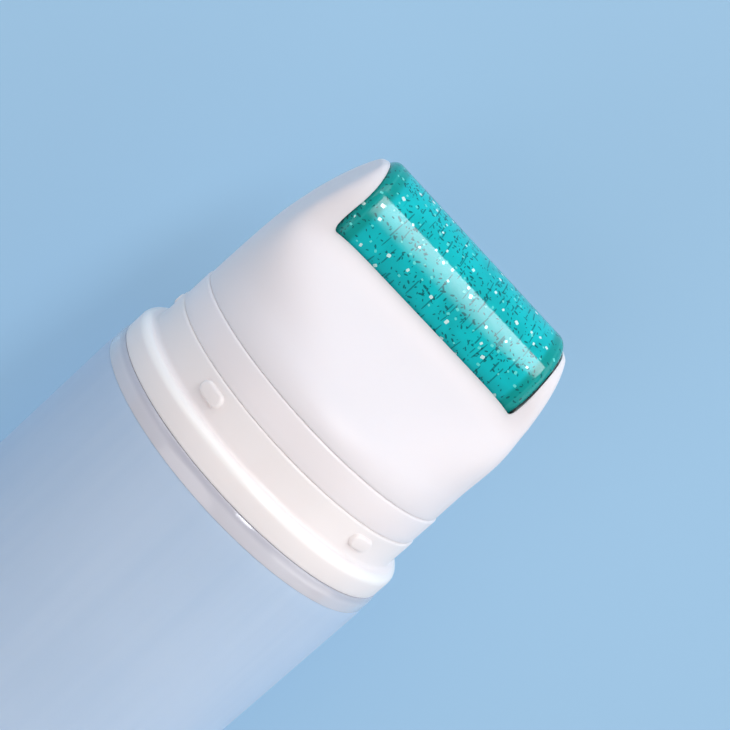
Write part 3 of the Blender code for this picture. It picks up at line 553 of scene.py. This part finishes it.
def shoulderProfile(s):
    under = s["top"] - s["thickness"]
    foot = s["step"] - s["skirtLength"]
    inner = s["skirtRadius"] - s["skirtWall"]
    profile = [(s["neckBore"], s["neckTop"] - s["neckBoreEdge"]),
               (s["neckBore"] + s["neckBoreEdge"], s["neckTop"])]
    profile += topEdge(s["neckRadius"], s["neckTop"], s["neckEdge"], innerEdgeSteps)
    profile += rootFillet(s["neckRadius"], s["top"], s["neckFillet"], innerEdgeSteps)
    profile.append((s["rimNeck"] - s["rimFlat"], s["top"]))
    for step in range(s["rimSteps"] + 1):
        angle = math.pi / 2 * step / s["rimSteps"]
        profile.append((s["rimNeck"] + (s["rimRadius"] - s["rimNeck"]) * math.sin(angle),
                        s["top"] - s["rimSwell"] * (1 - math.cos(angle))))
    profile += [(s["rimRadius"], s["step"] + s["rimFoot"]), (s["rimRadius"] - s["rimFoot"], s["step"]),
                (s["skirtRadius"], s["step"]), (s["skirtRadius"], foot + s["skirtEdge"]),
                (s["skirtRadius"] - s["skirtEdge"], foot), (inner + s["skirtInnerEdge"], foot),
                (inner, foot + s["skirtInnerEdge"])]
    profile += arc(inner - s["deckFillet"], under - s["deckFillet"], s["deckFillet"], 0, 90,
                   s["deckFilletSteps"])
    profile.append((s["neckBore"], under))
    return profile


def makeShoulder():
    s = shoulder
    mesh = turnedMesh("tubeShoulder", shoulderProfile(s), s["around"], closed=True)
    piece = newPiece("tubeShoulder", mesh)
    ridge = threadRidge("neckThread", s["neckRadius"], s["neckRadius"] + s["threadDepth"], s["threadStart"])
    combine(piece, ridge, 'UNION')
    finish = plastic("shoulder resin", **s["look"])
    # painted shade: the see-through rim's colour is darker where it goes in under the flange, where the
    # flange shades it
    depth = finish.place().dot((0, 1, 0)) - axisY / milli
    paintedShade = 1 - depth.ramp(*s["paintedShadeRamp"])
    finish.feed(Base_Color=finish.mix(paintedShade, finish.tone, s["paintedShadeColor"]))
    layDown(piece, "tube", finish, "tube_shoulder")


# Base collar

# beadFoot is a bead's foot, sunk in the collar: how far its outline draws in and how high it stands
collar = {
    "flangeRadius": 24.6, "flangeHeight": 3.8, "flangeFillet": 1.3, "flangeFilletSteps": 14,
    "footEdge": 0.2, "radius": 22.7, "height": 8.7, "edge": 0.42, "fillet": 0.6, "wall": 1.4,
    "around": 240, "towerRadius": 16.9, "towerTop": 13.9, "towerEdge": 0.4, "towerEdgeSteps": 5,
    "bore": 15.3, "deck": 12.1, "sealHeight": 12.55, "snapHeight": 10.7, "snapReach": 0.55,
    "snapHalf": 0.4, "beads": 5, "beadLength": 4.0, "beadWidth": 2.0, "beadRise": 0.50,
    "beadHeight": 6.5, "beadEdge": 0.36, "beadAround": 48,
    "beadFoot": ((-0.12, -0.6), (-0.12, -0.02), (-0.04, 0.04), (0.0, 0.12)),
    "portOffset": 7.5, "portRadius": 3.0, "threadStart": 3.6, "threadDepth": 1.2,
    "stopInner": 19.35, "stopOuter": 20.7, "stopWidth": 2.0, "stopTop": 11.2, "stopSink": 0.3,
    "stopPlay": 0.4, "stopAzimuth": 200.0, "twist": 90.0,
    # painted highlight on the flange's rounded edge: its whiter colour, the coat on it and where both fade
    # in
    "filletHighlightColor": (0.995, 0.93, 0.90), "edgeCoat": 0.4, "filletHighlightRamp": (0.05, 0.45),
    "look": {"color": (0.930, 0.858, 0.848), "shade": 0.985, "roughness": 0.32, "grain": 0.0006,
             "sockets": {"Coat Roughness": 0.12}}}


def beadLevels(c):
    # on from the foot, the bead's rounded edge up to its flat top
    edge = c["beadEdge"]
    levels = list(c["beadFoot"])
    for step in range(1, edgeSteps + 1):
        angle = math.pi / 2 * step / edgeSteps
        levels.append((edge * (1 - math.cos(angle)), c["beadRise"] - edge * (1 - math.sin(angle))))
    return levels


def beadMesh(c):
    # a flat-topped pill that follows the collar's curve
    rings = []
    for inset, rise in beadLevels(c):
        reach, radius = c["beadLength"] / 2 - inset, c["beadWidth"] / 2 - inset
        ring = []
        for count in range(c["beadAround"]):
            turn = 2 * math.pi * (count + 0.5) / c["beadAround"]
            along = radius * math.cos(turn) + math.copysign(reach - radius, math.cos(turn))
            drop = c["radius"] - math.sqrt(c["radius"] ** 2 - along ** 2)
            ring.append((along, drop - rise, radius * math.sin(turn)))
        rings.append(ring)
    return meshFromRings("bead", rings)


def collarProfile(c):
    inner = c["radius"] - c["wall"]
    flangeInner = c["flangeRadius"] - c["wall"]
    plate = c["height"] - c["wall"]
    profile = [(0.0, c["towerTop"])]
    profile += topEdge(c["towerRadius"], c["towerTop"], c["towerEdge"], c["towerEdgeSteps"])
    profile += groovePoints(c["towerRadius"], c["sealHeight"])
    profile += snapBead(c["towerRadius"], c["snapHeight"], c["snapReach"], c["snapHalf"])
    profile.append((c["towerRadius"], c["height"]))
    profile += topEdge(c["radius"], c["height"], c["edge"])
    profile += rootFillet(c["radius"], c["flangeHeight"], c["fillet"])
    profile += topEdge(c["flangeRadius"], c["flangeHeight"], c["flangeFillet"], c["flangeFilletSteps"])
    profile += footEdge(c["flangeRadius"], 0.0, c["footEdge"])
    profile += [(flangeInner, 0.0), (flangeInner, c["flangeHeight"] - c["wall"]),
                (inner, c["flangeHeight"] - c["wall"]), (inner, plate), (c["towerRadius"], plate),
                (c["towerRadius"], 0.0), (c["bore"], 0.0), (c["bore"], c["deck"]), (0.0, c["deck"])]
    return profile


def paintFilletHighlight(finish, c):
    # painted highlight: the flange's rounded edge is painted a little whiter than the walls, standing in
    # for the highlight along it, and it gets a glossy coat
    place = finish.place().vector('SUBTRACT', (0, axisY / milli, axisZ / milli))
    out = place.vector('MULTIPLY', (1, 0, 1)).vector('LENGTH') - (c["flangeRadius"] - c["flangeFillet"])
    up = place.dot((0, -1, 0)) - (c["flangeHeight"] - c["flangeFillet"])
    shared = out.math('MAXIMUM', 0.0) * up.math('MAXIMUM', 0.0) / c["flangeFillet"] ** 2
    edge = shared.ramp(*c["filletHighlightRamp"])
    # the whiter colour is a painted highlight; the coat weight is real gloss
    finish.feed(Base_Color=finish.mix(edge, finish.tone, c["filletHighlightColor"]), Coat_Weight=edge * c["edgeCoat"])


def makeCollar():
    c = collar
    piece = newPiece("baseCollar", turnedMesh("baseCollar", collarProfile(c), c["around"]))
    for count in range(c["beads"]):
        azimuth = -math.pi / 2 + 2 * math.pi * (count + 0.5) / c["beads"]
        matrix = turnedBy(azimuth) @ Matrix.Translation((c["radius"], 0, c["beadHeight"]))
        combine(piece, beadMesh(c), 'UNION', matrix @ turnedBy(math.pi / 2))
    ridge = threadRidge("collarThread", c["bore"], c["bore"] - c["threadDepth"], c["threadStart"])
    combine(piece, ridge, 'UNION')
    turn = (c["stopWidth"] + c["stopPlay"]) / c["stopInner"]
    closed, opened = math.radians(c["stopAzimuth"]), math.radians(c["stopAzimuth"] + c["twist"])
    for azimuth in (closed - turn, opened + turn):
        block = blockMesh((c["stopInner"], -c["stopWidth"] / 2, c["height"] - c["stopSink"]),
                          (c["stopOuter"], c["stopWidth"] / 2, c["stopTop"]))
        combine(piece, block, 'UNION', turnedBy(azimuth))
    combine(piece, rodMesh(c["portRadius"], c["deck"] - overrun, c["towerTop"] + overrun), 'DIFFERENCE',
            Matrix.Translation((c["portOffset"], 0, 0)))
    finish = plastic("collar white", **c["look"])
    paintFilletHighlight(finish, c)
    layDown(piece, "tube", finish, "base_collar")


# Turning band

band = {
    "radius": 22.5, "base": 8.72, "top": 13.1, "edge": 0.42, "footEdge": 0.10, "inner": 21.1, "web": 1.4,
    "spigotRadius": 18.95, "spigotEdge": 0.3, "spigotLift": 0.5, "plateTop": 16.7, "plate": 1.4,
    "bore": 17.2, "snapHeight": 15.7, "snapReach": 0.35, "snapHalf": 0.25, "sealHeight": 14.3,
    "grooveDepth": 0.55, "grooveFoot": 10.0, "grooveHeight": 1.5, "ribLift": 0.6, "ribSink": 0.3,
    "around": 240,
    "look": {"color": (0.922, 0.850, 0.860), "shade": 0.985, "roughness": 0.32, "grain": 0.0006}}


def bandProfile(b):
    web = b["top"] - b["web"]
    groove = b["bore"] + b["grooveDepth"]
    grooveTop = b["grooveFoot"] + b["grooveHeight"]
    spigotFoot = b["base"] + b["spigotLift"]
    profile = [(0.0, b["plateTop"])]
    profile += topEdge(b["spigotRadius"], b["plateTop"], b["spigotEdge"], innerEdgeSteps)
    profile += snapBead(b["spigotRadius"], b["snapHeight"], b["snapReach"], b["snapHalf"])
    profile += groovePoints(b["spigotRadius"], b["sealHeight"])
    profile.append((b["spigotRadius"], b["top"]))
    profile += topEdge(b["radius"], b["top"], b["edge"])
    profile += footEdge(b["radius"], b["base"], b["footEdge"])
    profile += [(b["inner"], b["base"]), (b["inner"], web), (b["spigotRadius"], web),
                (b["spigotRadius"], spigotFoot), (b["bore"], spigotFoot), (b["bore"], b["grooveFoot"]),
                (groove, b["grooveFoot"] + b["grooveDepth"] / 2), (groove, grooveTop),
                (b["bore"], grooveTop + b["grooveDepth"] / 2), (b["bore"], b["plateTop"] - b["plate"]),
                (0.0, b["plateTop"] - b["plate"])]
    return profile


def makeBand():
    b = band
    piece = newPiece("turnBand", turnedMesh("turnBand", bandProfile(b), b["around"]))
    half = collar["stopWidth"] / 2
    rib = blockMesh((b["spigotRadius"] - b["ribSink"], -half, b["base"] + b["ribLift"]),
                    (b["inner"] + b["ribSink"], half, b["top"] - b["web"] + b["ribSink"]))
    combine(piece, rib, 'UNION', turnedBy(math.radians(collar["stopAzimuth"])))
    port = rodMesh(collar["portRadius"], b["plateTop"] - b["plate"] - overrun, b["plateTop"] + overrun)
    combine(piece, port, 'DIFFERENCE', Matrix.Translation((0, -collar["portOffset"], 0)))
    layDown(piece, "head", plastic("band white", **b["look"]), "turn_ring")


# Roller head

head = {
    "radius": 22.3, "foot": 13.12, "base": 13.4, "topPower": 8.0, "powerRise": 2.7, "taper": 4.6,
    "taperPower": 2.3, "baseEase": 4.0, "earEase": 4.0, "earHalfDepth": 8.53, "lip": 30.41,
    "faceStart": 31.01, "archStart": 32.5, "earTop": 40.4, "archPower": 2.6, "earEdge": 0.6,
    "footEdge": 0.10, "wall": 1.7, "around": 256, "wedgeSteps": 46, "archSteps": 22,
    "boreRadius": 19.35, "insertBase": 17.0, "shelf": 0.25, "leadIn": 0.35, "snapLow": 15.1,
    "snapHigh": 16.6, "snapGroove": 0.35, "hollowWidth": 19.0, "hollowTopWidth": 15.4,
    "hollowTop": 29.0, "hollowSteps": 16, "hollowAround": 96, "cavityRadius": 8.9,
    "cavityHalfLength": 17.0, "cavitySteps": 10, "lipFillet": 0.8, "earFillet": 1.4,
    "filletLow": 0.285, "filletHigh": -0.35, "pocketEnd": 18.45, "pocketRadius": 2.8, "cutAround": 192,
    "edgeWidth": 0.12, "edgeAngle": 50.0,
    "look": {"color": (0.845, 0.795, 0.815), "shade": 0.985, "roughness": 0.42, "grain": 0.0015,
             "sockets": {"Specular IOR Level": 0.4}}}


def faceShare(height):
    # how much of the face's lean is taken up: it bends in, runs straight and bends out
    stretch = head["faceStart"] - head["base"]
    ease, last = head["baseEase"], head["earEase"]
    whole = stretch - (ease + last) / 2
    run = min(stretch, max(0.0, height - head["base"]))
    if run < ease:
        return run ** 2 / (2 * ease) / whole
    if run < stretch - last:
        return (run - ease / 2) / whole
    return 1 - (stretch - run) ** 2 / (2 * last) / whole


def headDepth(height):
    if height > head["archStart"]:
        share = min(1.0, (height - head["archStart"]) / (head["earTop"] - head["archStart"]))
        return head["earHalfDepth"] * (1 - share ** head["archPower"]) ** (1 / head["archPower"])
    return head["radius"] + (head["earHalfDepth"] - head["radius"]) * faceShare(height)


def headWidth(height):
    share = max(0.0, (height - head["base"]) / (head["earTop"] - head["base"]))
    return head["radius"] - head["taper"] * share ** head["taperPower"]


def headPower(height):
    climb = min(1.0, max(0.0, (height - head["base"]) / (head["lip"] - head["base"])))
    return 2 + (head["topPower"] - 2) * climb ** head["powerRise"]


def headSection(height, inset=0.0):
    edge = max(0.0, 1 - (head["earTop"] - height) / head["earEdge"])
    width = headWidth(height) - head["earEdge"] * edge ** 2 - inset
    return section(width, headDepth(height) - inset, headPower(height), height, head["around"])


def headRings():
    # the rounded foot, the wedge up to the roller and the two ears as one arch
    h = head
    rings = []
    for step in range(edgeSteps):
        angle = math.pi / 2 * step / edgeSteps
        height = h["foot"] + h["footEdge"] * (1 - math.cos(angle))
        rings.append(headSection(height, h["footEdge"] * (1 - math.sin(angle))))
    low = h["foot"] + h["footEdge"]
    for step in range(h["wedgeSteps"] + 1):
        rings.append(headSection(low + (h["archStart"] - low) * step / h["wedgeSteps"]))
    for step in range(1, h["archSteps"] + 1):
        share = math.sin(math.pi / 2 * step / (h["archSteps"] + 1))
        rings.append(headSection(h["archStart"] + (h["earTop"] - h["archStart"]) * share))
    return rings


def hollowMesh(h):
    # the inside of the wedge, whose wall is thicker halfway up
    rings = []
    low, high = band["plateTop"], h["hollowTop"]
    for step in range(h["hollowSteps"] + 1):
        height = low + (high - low) * step / h["hollowSteps"]
        climb = min(1.0, max(0.0, (height - h["insertBase"]) / (high - h["insertBase"])))
        width = h["hollowWidth"] + (h["hollowTopWidth"] - h["hollowWidth"]) * smooth(climb)
        depth = min(headDepth(height) - h["wall"] * (1 + climb * (1 - climb)), h["hollowWidth"])
        rings.append(section(width, depth, headPower(height), height, h["hollowAround"]))
    return meshFromRings("hollow", rings)


def boreMesh(h):
    # the socket for the band's spigot, with a groove for its snap bead and a lead-in
    radius, foot = h["boreRadius"], h["foot"]
    top, below = h["insertBase"] + h["shelf"], foot - 2 * overrun
    groove, lead = radius + h["snapGroove"], radius + h["leadIn"]
    profile = [(0.0, top), (radius, top), (radius, h["snapHigh"]),
               (groove, h["snapHigh"] - h["snapGroove"]), (groove, h["snapLow"] + h["snapGroove"]),
               (radius, h["snapLow"]), (radius, foot + h["leadIn"]), (lead, foot), (lead, below),
               (0.0, below)]
    return turnedMesh("bore", profile, h["cutAround"])


def rollerWay():
    # from the roller's own axis along Z to the roller's place across the head
    return Matrix.Translation((0, 0, rollerHeight)) @ Matrix.Rotation(math.pi / 2, 4, 'Y')


def roundedRod(radius, half, fillet, steps):
    upper = topEdge(radius, half, fillet, steps)
    return [(0.0, half)] + upper + footEdge(radius, -half, fillet, steps) + [(0.0, -half)]


def cavityOutline(turn):
    # the cavity's ends are crisp at the lips, and above them they follow the roller's rounded ends
    h = head
    share = smooth((h["filletLow"] - math.cos(turn)) / (h["filletLow"] - h["filletHigh"]))
    fillet = h["lipFillet"] + (h["earFillet"] - h["lipFillet"]) * share
    return roundedRod(h["cavityRadius"], h["cavityHalfLength"], fillet, h["cavitySteps"])


def makeHead():
    h = head
    piece = newPiece("rollerHead", meshFromRings("rollerHead", headRings()))
    combine(piece, boreMesh(h), 'DIFFERENCE')
    combine(piece, hollowMesh(h), 'DIFFERENCE')
    combine(piece, turnedMesh("cavity", cavityOutline, h["cutAround"]), 'DIFFERENCE', rollerWay())
    for sign in (-1, 1):
        low, high = sorted((sign * (h["cavityHalfLength"] - overrun), sign * h["pocketEnd"]))
        combine(piece, rodMesh(h["pocketRadius"], low, high), 'DIFFERENCE', rollerWay())
    bevel = piece.modifiers.new("Softened edges", 'BEVEL')
    bevel.width = h["edgeWidth"]
    bevel.segments = bevelSegments
    bevel.limit_method = 'ANGLE'
    bevel.angle_limit = math.radians(h["edgeAngle"])
    bevel.use_clamp_overlap = True
    keepModifiers(piece)
    layDown(piece, "head", plastic("head white", **h["look"]), "roller_head")


# Roller

# a layer of flecks: the texture's cell and offset, a fleck's half length and half width, how deep it
# reaches, the share of cells that hold one and what a crowd adds to it, how far it turns by chance, in
# radians, and its outline's power, 2 for an oval and more for a chip
roller = {
    "radius": 8.5, "halfLength": 16.88, "fillet": 1.3, "filletSteps": 16, "holdRing": 0.3,
    "bore": 1.8, "boreFloor": 10.3, "boreEdge": 0.25, "around": 224,
    "resin": {
        "sockets": {"Roughness": 0.25, "IOR": 1.5, "Coat Weight": 0.72, "Coat Roughness": 0.06,
                    "Coat IOR": 1.45, "Specular IOR Level": 0.02, "Subsurface Weight": 0.3,
                    "Subsurface Radius": (0.3, 1.0, 1.0), "Subsurface Scale": 1.0 * milli},
        "color": (0.002, 0.535, 0.565), "deep": (0.002, 0.455, 0.48),
        "end": (0.000, 0.29, 0.26), "silver": (0.66, 0.93, 0.89), "mint": (0.14, 0.74, 0.69),
        "fleck": (0.000, 0.085, 0.095), "streak": (0.000, 0.17, 0.19), "endZone": 3.0,
        # painted glint ring: its width and its share of the mint colour
        "endEase": 0.8, "endShare": 0.85, "paintedGlintEase": 0.3, "paintedGlintShare": 0.09,
        "middleZone": (5.5, 3.5), "darkShare": 0.8, "mintShare": 0.85, "silverShine": 0.15,
        "crowdSize": 4.5, "crowdRamp": (0.38, 0.62), "cloudSize": 7.0, "cloudTwist": 0.8,
        "cloudRamp": (0.35, 0.65), "rippleSize": 3.5, "rippleDepth": 0.012,
        "randomness": 0.85, "leastSize": 0.6, "sizeSpread": 0.5},
    "layers": {
        "silver": {"cell": 2.1, "offset": (3.1, 9.7, 5.3), "halfSize": (0.26, 0.22), "depth": 0.80,
                   "share": 0.48, "crowding": 0.0, "spin": 2 * math.pi, "power": 5.0},
        "mint": {"cell": 1.5, "offset": (13.3, 2.9, 8.1), "halfSize": (0.22, 0.17), "depth": 0.55,
                 "share": 0.40, "crowding": 0.0, "spin": 2 * math.pi, "power": 4.0},
        "flecks": {"cell": 0.95, "offset": (7.7, 4.1, 21.9), "halfSize": (0.27, 0.12), "depth": 0.42,
                   "share": 0.30, "crowding": 0.5, "spin": 2 * math.pi, "power": 2.0},
        "dust": {"cell": 0.75, "offset": (1.9, 31.3, 2.7), "halfSize": (0.19, 0.085), "depth": 0.36,
                 "share": 0.20, "crowding": 0.5, "spin": 2 * math.pi, "power": 2.0},
        "chips": {"cell": 1.25, "offset": (23.3, 7.9, 1.1), "halfSize": (0.36, 0.14), "depth": 0.50,
                  "share": 0.25, "crowding": 0.4, "spin": 1.4, "power": 2.0},
        "streaks": {"cell": 2.1, "offset": (11.9, 5.9, 3.7), "halfSize": (0.13, 0.9), "depth": 0.95,
                    "share": 0.25, "crowding": 0.7, "spin": 0.24, "power": 3.0},
        "longStreaks": {"cell": 2.7, "offset": (5.3, 17.9, 9.1), "halfSize": (0.10, 1.4),
                        "depth": 1.2, "share": 0.80, "crowding": 0.0, "spin": 0.16, "power": 3.0}}}


def fleckMask(finish, place, tangent, radial, crowd, layer):
    # 1 on one layer's flecks, cast in the resin: each cell of the texture holds at most one
    r = roller["resin"]
    shifted = place.vector('ADD', layer["offset"])
    cells = {"Vector": shifted, "Scale": 1 / layer["cell"], "Randomness": r["randomness"]}
    spot = finish.add("TexVoronoi", None, cells, "Position")
    first = finish.add("SeparateXYZ", None, {0: spot.sibling("Color")})
    second, third = first.sibling(1), first.sibling(2)
    gap = shifted.vector('SUBTRACT', spot)
    along = gap.dot((1, 0, 0))
    around = gap.dot(tangent)
    deep = gap.dot(radial)
    angle = (first - 0.5) * layer["spin"]
    cosine, sine = angle.math('COSINE'), angle.math('SINE')
    lengthwise = abs(along * cosine + around * sine)
    crosswise = abs(around * cosine - along * sine)
    size = second * r["sizeSpread"] + r["leastSize"]
    halfLength, halfWidth = layer["halfSize"]
    reach = ((lengthwise / (size * halfLength)).math('POWER', layer["power"])
             + (crosswise / (size * halfWidth)).math('POWER', layer["power"]))
    held = third.below(layer["share"] + layer["crowding"] * crowd)
    return reach.below(1.0) * abs(deep).below(layer["depth"]) * held


def glitterResin():
    # clouded turquoise, darker at its ends, with a painted glint ring where the rounded ends begin, and
    # dark streaks and flecks under mint and silver ones
    r = roller["resin"]
    finish = newMaterial("turquoise glitter resin", r["color"], r["sockets"])
    center = (0, axisY / milli - rollerHeight, axisZ / milli)
    place = finish.place().vector('SUBTRACT', center)
    radial = place.vector('MULTIPLY', (0, 1, 1)).vector('NORMALIZE')
    tangent = radial.vector('CROSS_PRODUCT', (1, 0, 0))
    crowd = finish.noise(place, r["crowdSize"], detail=1.0).ramp(*r["crowdRamp"])
    masks = {name: fleckMask(finish, place, tangent, radial, crowd, layer)
             for name, layer in roller["layers"].items()}
    reach = abs(place.dot((1, 0, 0)))
    half = roller["halfLength"]
    ending = reach.ramp(half - r["endZone"], half - r["endZone"] + r["endEase"])
    # painted glint: a thin lighter ring where each rounded end begins
    paintedGlint = 1 - abs(reach - (half - roller["fillet"])).ramp(0.0, r["paintedGlintEase"])
    middle = 1 - reach.ramp(half - r["middleZone"][0], half - r["middleZone"][1])
    cloud = finish.noise(place, r["cloudSize"], distortion=r["cloudTwist"]).ramp(*r["cloudRamp"])
    streaks = masks["streaks"].math('MAXIMUM', masks["longStreaks"]) * middle
    flecks = masks["flecks"].math('MAXIMUM', masks["dust"]).math('MAXIMUM', masks["chips"])
    color = finish.mix(cloud, r["deep"], r["color"])
    for mask, over in ((ending * r["endShare"], "end"), (paintedGlint * r["paintedGlintShare"], "mint"),
                       (streaks * r["darkShare"], "streak"), (flecks * r["darkShare"], "fleck"),
                       (masks["mint"] * r["mintShare"], "mint"), (masks["silver"], "silver")):
        color = finish.mix(mask, color, r[over])
    ripple = finish.noise(place, r["rippleSize"], detail=1.0)
    finish.feed(Base_Color=color, Metallic=masks["silver"] * r["silverShine"],
                Normal=finish.bump(ripple, r["rippleDepth"]))
    return finish


def makeRoller():
    r = roller
    outline = roundedRod(r["radius"], r["halfLength"], r["fillet"], r["filletSteps"])[1:-1]
    # two rings beside the rounded ends keep the long side straight in its mirror image
    hold = r["halfLength"] - r["fillet"] - r["holdRing"]
    middle = len(outline) // 2
    outline[middle:middle] = [(r["radius"], hold), (r["radius"], -hold)]
    end = [(r["bore"] + r["boreEdge"], r["halfLength"]), (r["bore"], r["halfLength"] - r["boreEdge"]),
           (r["bore"], r["boreFloor"]), (0.0, r["boreFloor"])]
    profile = list(reversed(end)) + outline + [(radius, -height) for radius, height in end]
    mesh = turnedMesh("glitterRoller", profile, r["around"])
    mesh.transform(rollerWay())
    piece = newPiece("glitterRoller", mesh)
    layDown(piece, "roller", glitterResin(), "roller")


# Pieces that keep the frame's own shape

hidden = {
    "pieces": {"neck_gasket": "gasket rubber", "turn_seal": "seal rubber", "head_seal": "seal rubber",
               "valve_disc": "valve silicone", "flow_insert": "pan white",
               "pivot_bush_left": "bearing plastic", "pivot_bush_right": "bearing plastic",
               "pivot_pin_left": "drawn steel", "pivot_pin_right": "drawn steel"},
    "plastics": {
        "gasket rubber": {"color": (0.10, 0.11, 0.12), "shade": 0.85, "roughness": 0.62, "grain": 0.02,
                          "sockets": {"Subsurface Weight": 0.0}},
        "seal rubber": {"color": (0.55, 0.57, 0.60), "shade": 0.92, "roughness": 0.48, "grain": 0.015},
        "valve silicone": {"color": (0.62, 0.62, 0.60), "shade": 0.93, "roughness": 0.55, "grain": 0.012},
        "pan white": {"color": (0.80, 0.80, 0.80), "shade": 0.96, "roughness": 0.42, "grain": 0.01},
        "bearing plastic": {"color": (0.74, 0.74, 0.71), "shade": 0.94, "roughness": 0.40, "grain": 0.008}},
    "steel": {"color": (0.62, 0.63, 0.65), "dark": (0.55, 0.56, 0.58), "light": (0.68, 0.69, 0.71),
              "lineSize": 0.15, "lineStretch": (0.08, 1.0, 1.0), "roughness": 0.22,
              "lineRoughness": 0.18, "depth": 0.004}}


def drawnSteel():
    s = hidden["steel"]
    finish = newMaterial("drawn steel", s["color"], {"Metallic": 1.0})
    lines = finish.noise(finish.place().vector('MULTIPLY', s["lineStretch"]), s["lineSize"])
    finish.feed(Base_Color=finish.mix(lines, s["dark"], s["light"]),
                Roughness=s["roughness"] + s["lineRoughness"] * lines,
                Normal=finish.bump(lines, s["depth"]))
    return finish


def dressHiddenPieces():
    finishes = {name: plastic(name, **look) for name, look in hidden["plastics"].items()}
    finishes["drawn steel"] = drawnSteel()
    for node, name in hidden["pieces"].items():
        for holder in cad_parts[node].material_slots:
            holder.material = finishes[name].owner
    print("hidden pieces dressed:", len(hidden["pieces"]))


# Studio

studio = {
    "floorColor": (0.205, 0.330, 0.452), "floorSize": 1.6, "floorGrid": 8, "floorDrop": 0.05,
    "paper": {"Roughness": 0.85, "Specular IOR Level": 0.1, "Emission Strength": 0.75},
    "cloudSize": 160.0, "cloudRamp": (0.3, 0.7), "cloudShade": 0.97,
    "worldColor": (0.97, 0.985, 1.0), "worldStrength": 0.34,
    "stripSidePower": 14.0, "stripEndPower": 10.0, "stripEdge": (0.75, 1.0)}
# aim points from the roller's middle to the lamp, which shines back; lengths in metres. Only the tall
# strip stands where the roller mirrors it towards the camera.
lamps = {
    "tall strip": {"aim": (0, -0.819, 0.574), "distance": 1.0, "shift": (-0.222, 0.4255),
                   "size": (0.212, 1.149), "watts": 9.8, "color": (0.94, 0.965, 1.0),
                   "fade": (0.10, 0.92)},
    "front right": {"aim": (-0.80, -0.75, 0.30), "distance": 1.1, "size": (0.9, 0.6), "watts": 2.5},
    "side light": {"aim": (-1.0, -0.1, 0.28), "distance": 0.8, "size": (0.5, 1.2), "watts": 2.1,
                   "color": (1.0, 0.97, 0.95)},
    "low key": {"aim": (-0.80, 0.35, 0.50), "distance": 1.2, "size": (0.8, 0.8), "watts": 0.7},
    "front wall": {"aim": (0.45, -0.90, 0.25), "distance": 1.1, "size": (1.4, 0.35), "watts": 2.7,
                   "color": (1.0, 0.95, 0.95)},
    "overhead left": {"aim": (0.45, 0.35, 0.80), "distance": 1.3, "size": (0.9, 0.9), "watts": 2.6,
                      "color": (1.0, 0.93, 0.94)},
    "back": {"aim": (0.25, 1.0, 0.5), "distance": 1.3, "size": (0.8, 0.8), "watts": 2.4},
    "left strip": {"aim": (0.88, -0.30, 0.36), "distance": 1.1, "size": (0.10, 0.9), "watts": 0.6,
                   "fade": (0.6, 1.0)}}
# place and aim in millimetres, roll in degrees, nearest and farthest in metres
view = {"place": (42.5, -108.09, 227.34), "aim": (-0.66, -73.83, 24.92), "roll": 175.5, "lens": 77.08,
        "nearest": 0.01, "farthest": 20.0}


def makeFloor():
    shape, cells = bmesh.new(), studio["floorGrid"]
    bmesh.ops.create_grid(shape, x_segments=cells, y_segments=cells, size=studio["floorSize"])
    floor = newPiece("floor", meshFrom("floor", shape))
    floor.location.z = min(cadBox[0][2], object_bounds()[0][2]) - studio["floorDrop"] * milli
    color = studio["floorColor"]
    paper = newMaterial("pale paper", color, studio["paper"])
    cloud = paper.noise(paper.place(), studio["cloudSize"]).ramp(*studio["cloudRamp"])
    tone = paper.mix(cloud, toned(color, studio["cloudShade"]), color)
    paper.feed(Base_Color=tone, Emission_Color=tone)
    floor.data.materials.append(paper.owner)
    print("floor laid")


def makeWorld():
    world = bpy.data.worlds.new("studio")
    bpy.context.scene.world = world
    Finish(world, "Background", {"Color": (*studio["worldColor"], 1), "Strength": studio["worldStrength"]})


def shadeStrip(lamp, fade):
    # a tall lamp with round corners that fades from its foot to its top
    gel = Finish(lamp, "Emission")
    across = gel.add("SeparateXYZ", None, {0: gel.add("NewGeometry", output="Parametric")})
    upward = across.sibling(1)
    aside = abs(across * 2 - 1).math('POWER', studio["stripSidePower"])
    ending = abs(upward * 2 - 1).math('POWER', studio["stripEndPower"])
    gel.feed(Strength=(1 - upward.ramp(*fade)) * (1 - (aside + ending).ramp(*studio["stripEdge"])))


def makeLamps():
    middle = Vector((0, axisY - rollerHeight * milli, axisZ))
    for name, values in lamps.items():
        lamp = bpy.data.lights.new(name, 'AREA')
        lamp.shape = 'RECTANGLE'
        lamp.size, lamp.size_y = values["size"]
        lamp.energy = values["watts"]
        lamp.color = values.get("color", (1, 1, 1))
        if "fade" in values:
            shadeStrip(lamp, values["fade"])
        light = newPiece(name, lamp)
        toward = Vector(values["aim"]).normalized()
        turn = toward.to_track_quat('Z', 'Y')
        shift = turn @ Vector((*values.get("shift", (0, 0)), 0))
        light.location = middle + toward * values["distance"] + shift
        light.rotation_euler = turn.to_euler()
    print("lamps placed:", len(lamps))


def makeCamera():
    data = bpy.data.cameras.new("camera")
    data.lens = view["lens"]
    data.clip_start = view["nearest"]
    data.clip_end = view["farthest"]
    camera = newPiece("camera", data)
    place, aim = Vector(view["place"]) * milli, Vector(view["aim"]) * milli
    turn = (aim - place).to_track_quat('-Z', 'Y').to_matrix().to_4x4()
    camera.matrix_world = (Matrix.Translation(place) @ turn
                           @ Matrix.Rotation(math.radians(view["roll"]), 4, 'Z'))
    bpy.context.scene.camera = camera
    bpy.context.scene.view_settings.view_transform = 'Standard'
    print("camera placed")


makeSleeve()
makeShoulder()
makeCollar()
makeBand()
makeHead()
makeRoller()
dressHiddenPieces()
makeFloor()
makeWorld()
makeLamps()
makeCamera()
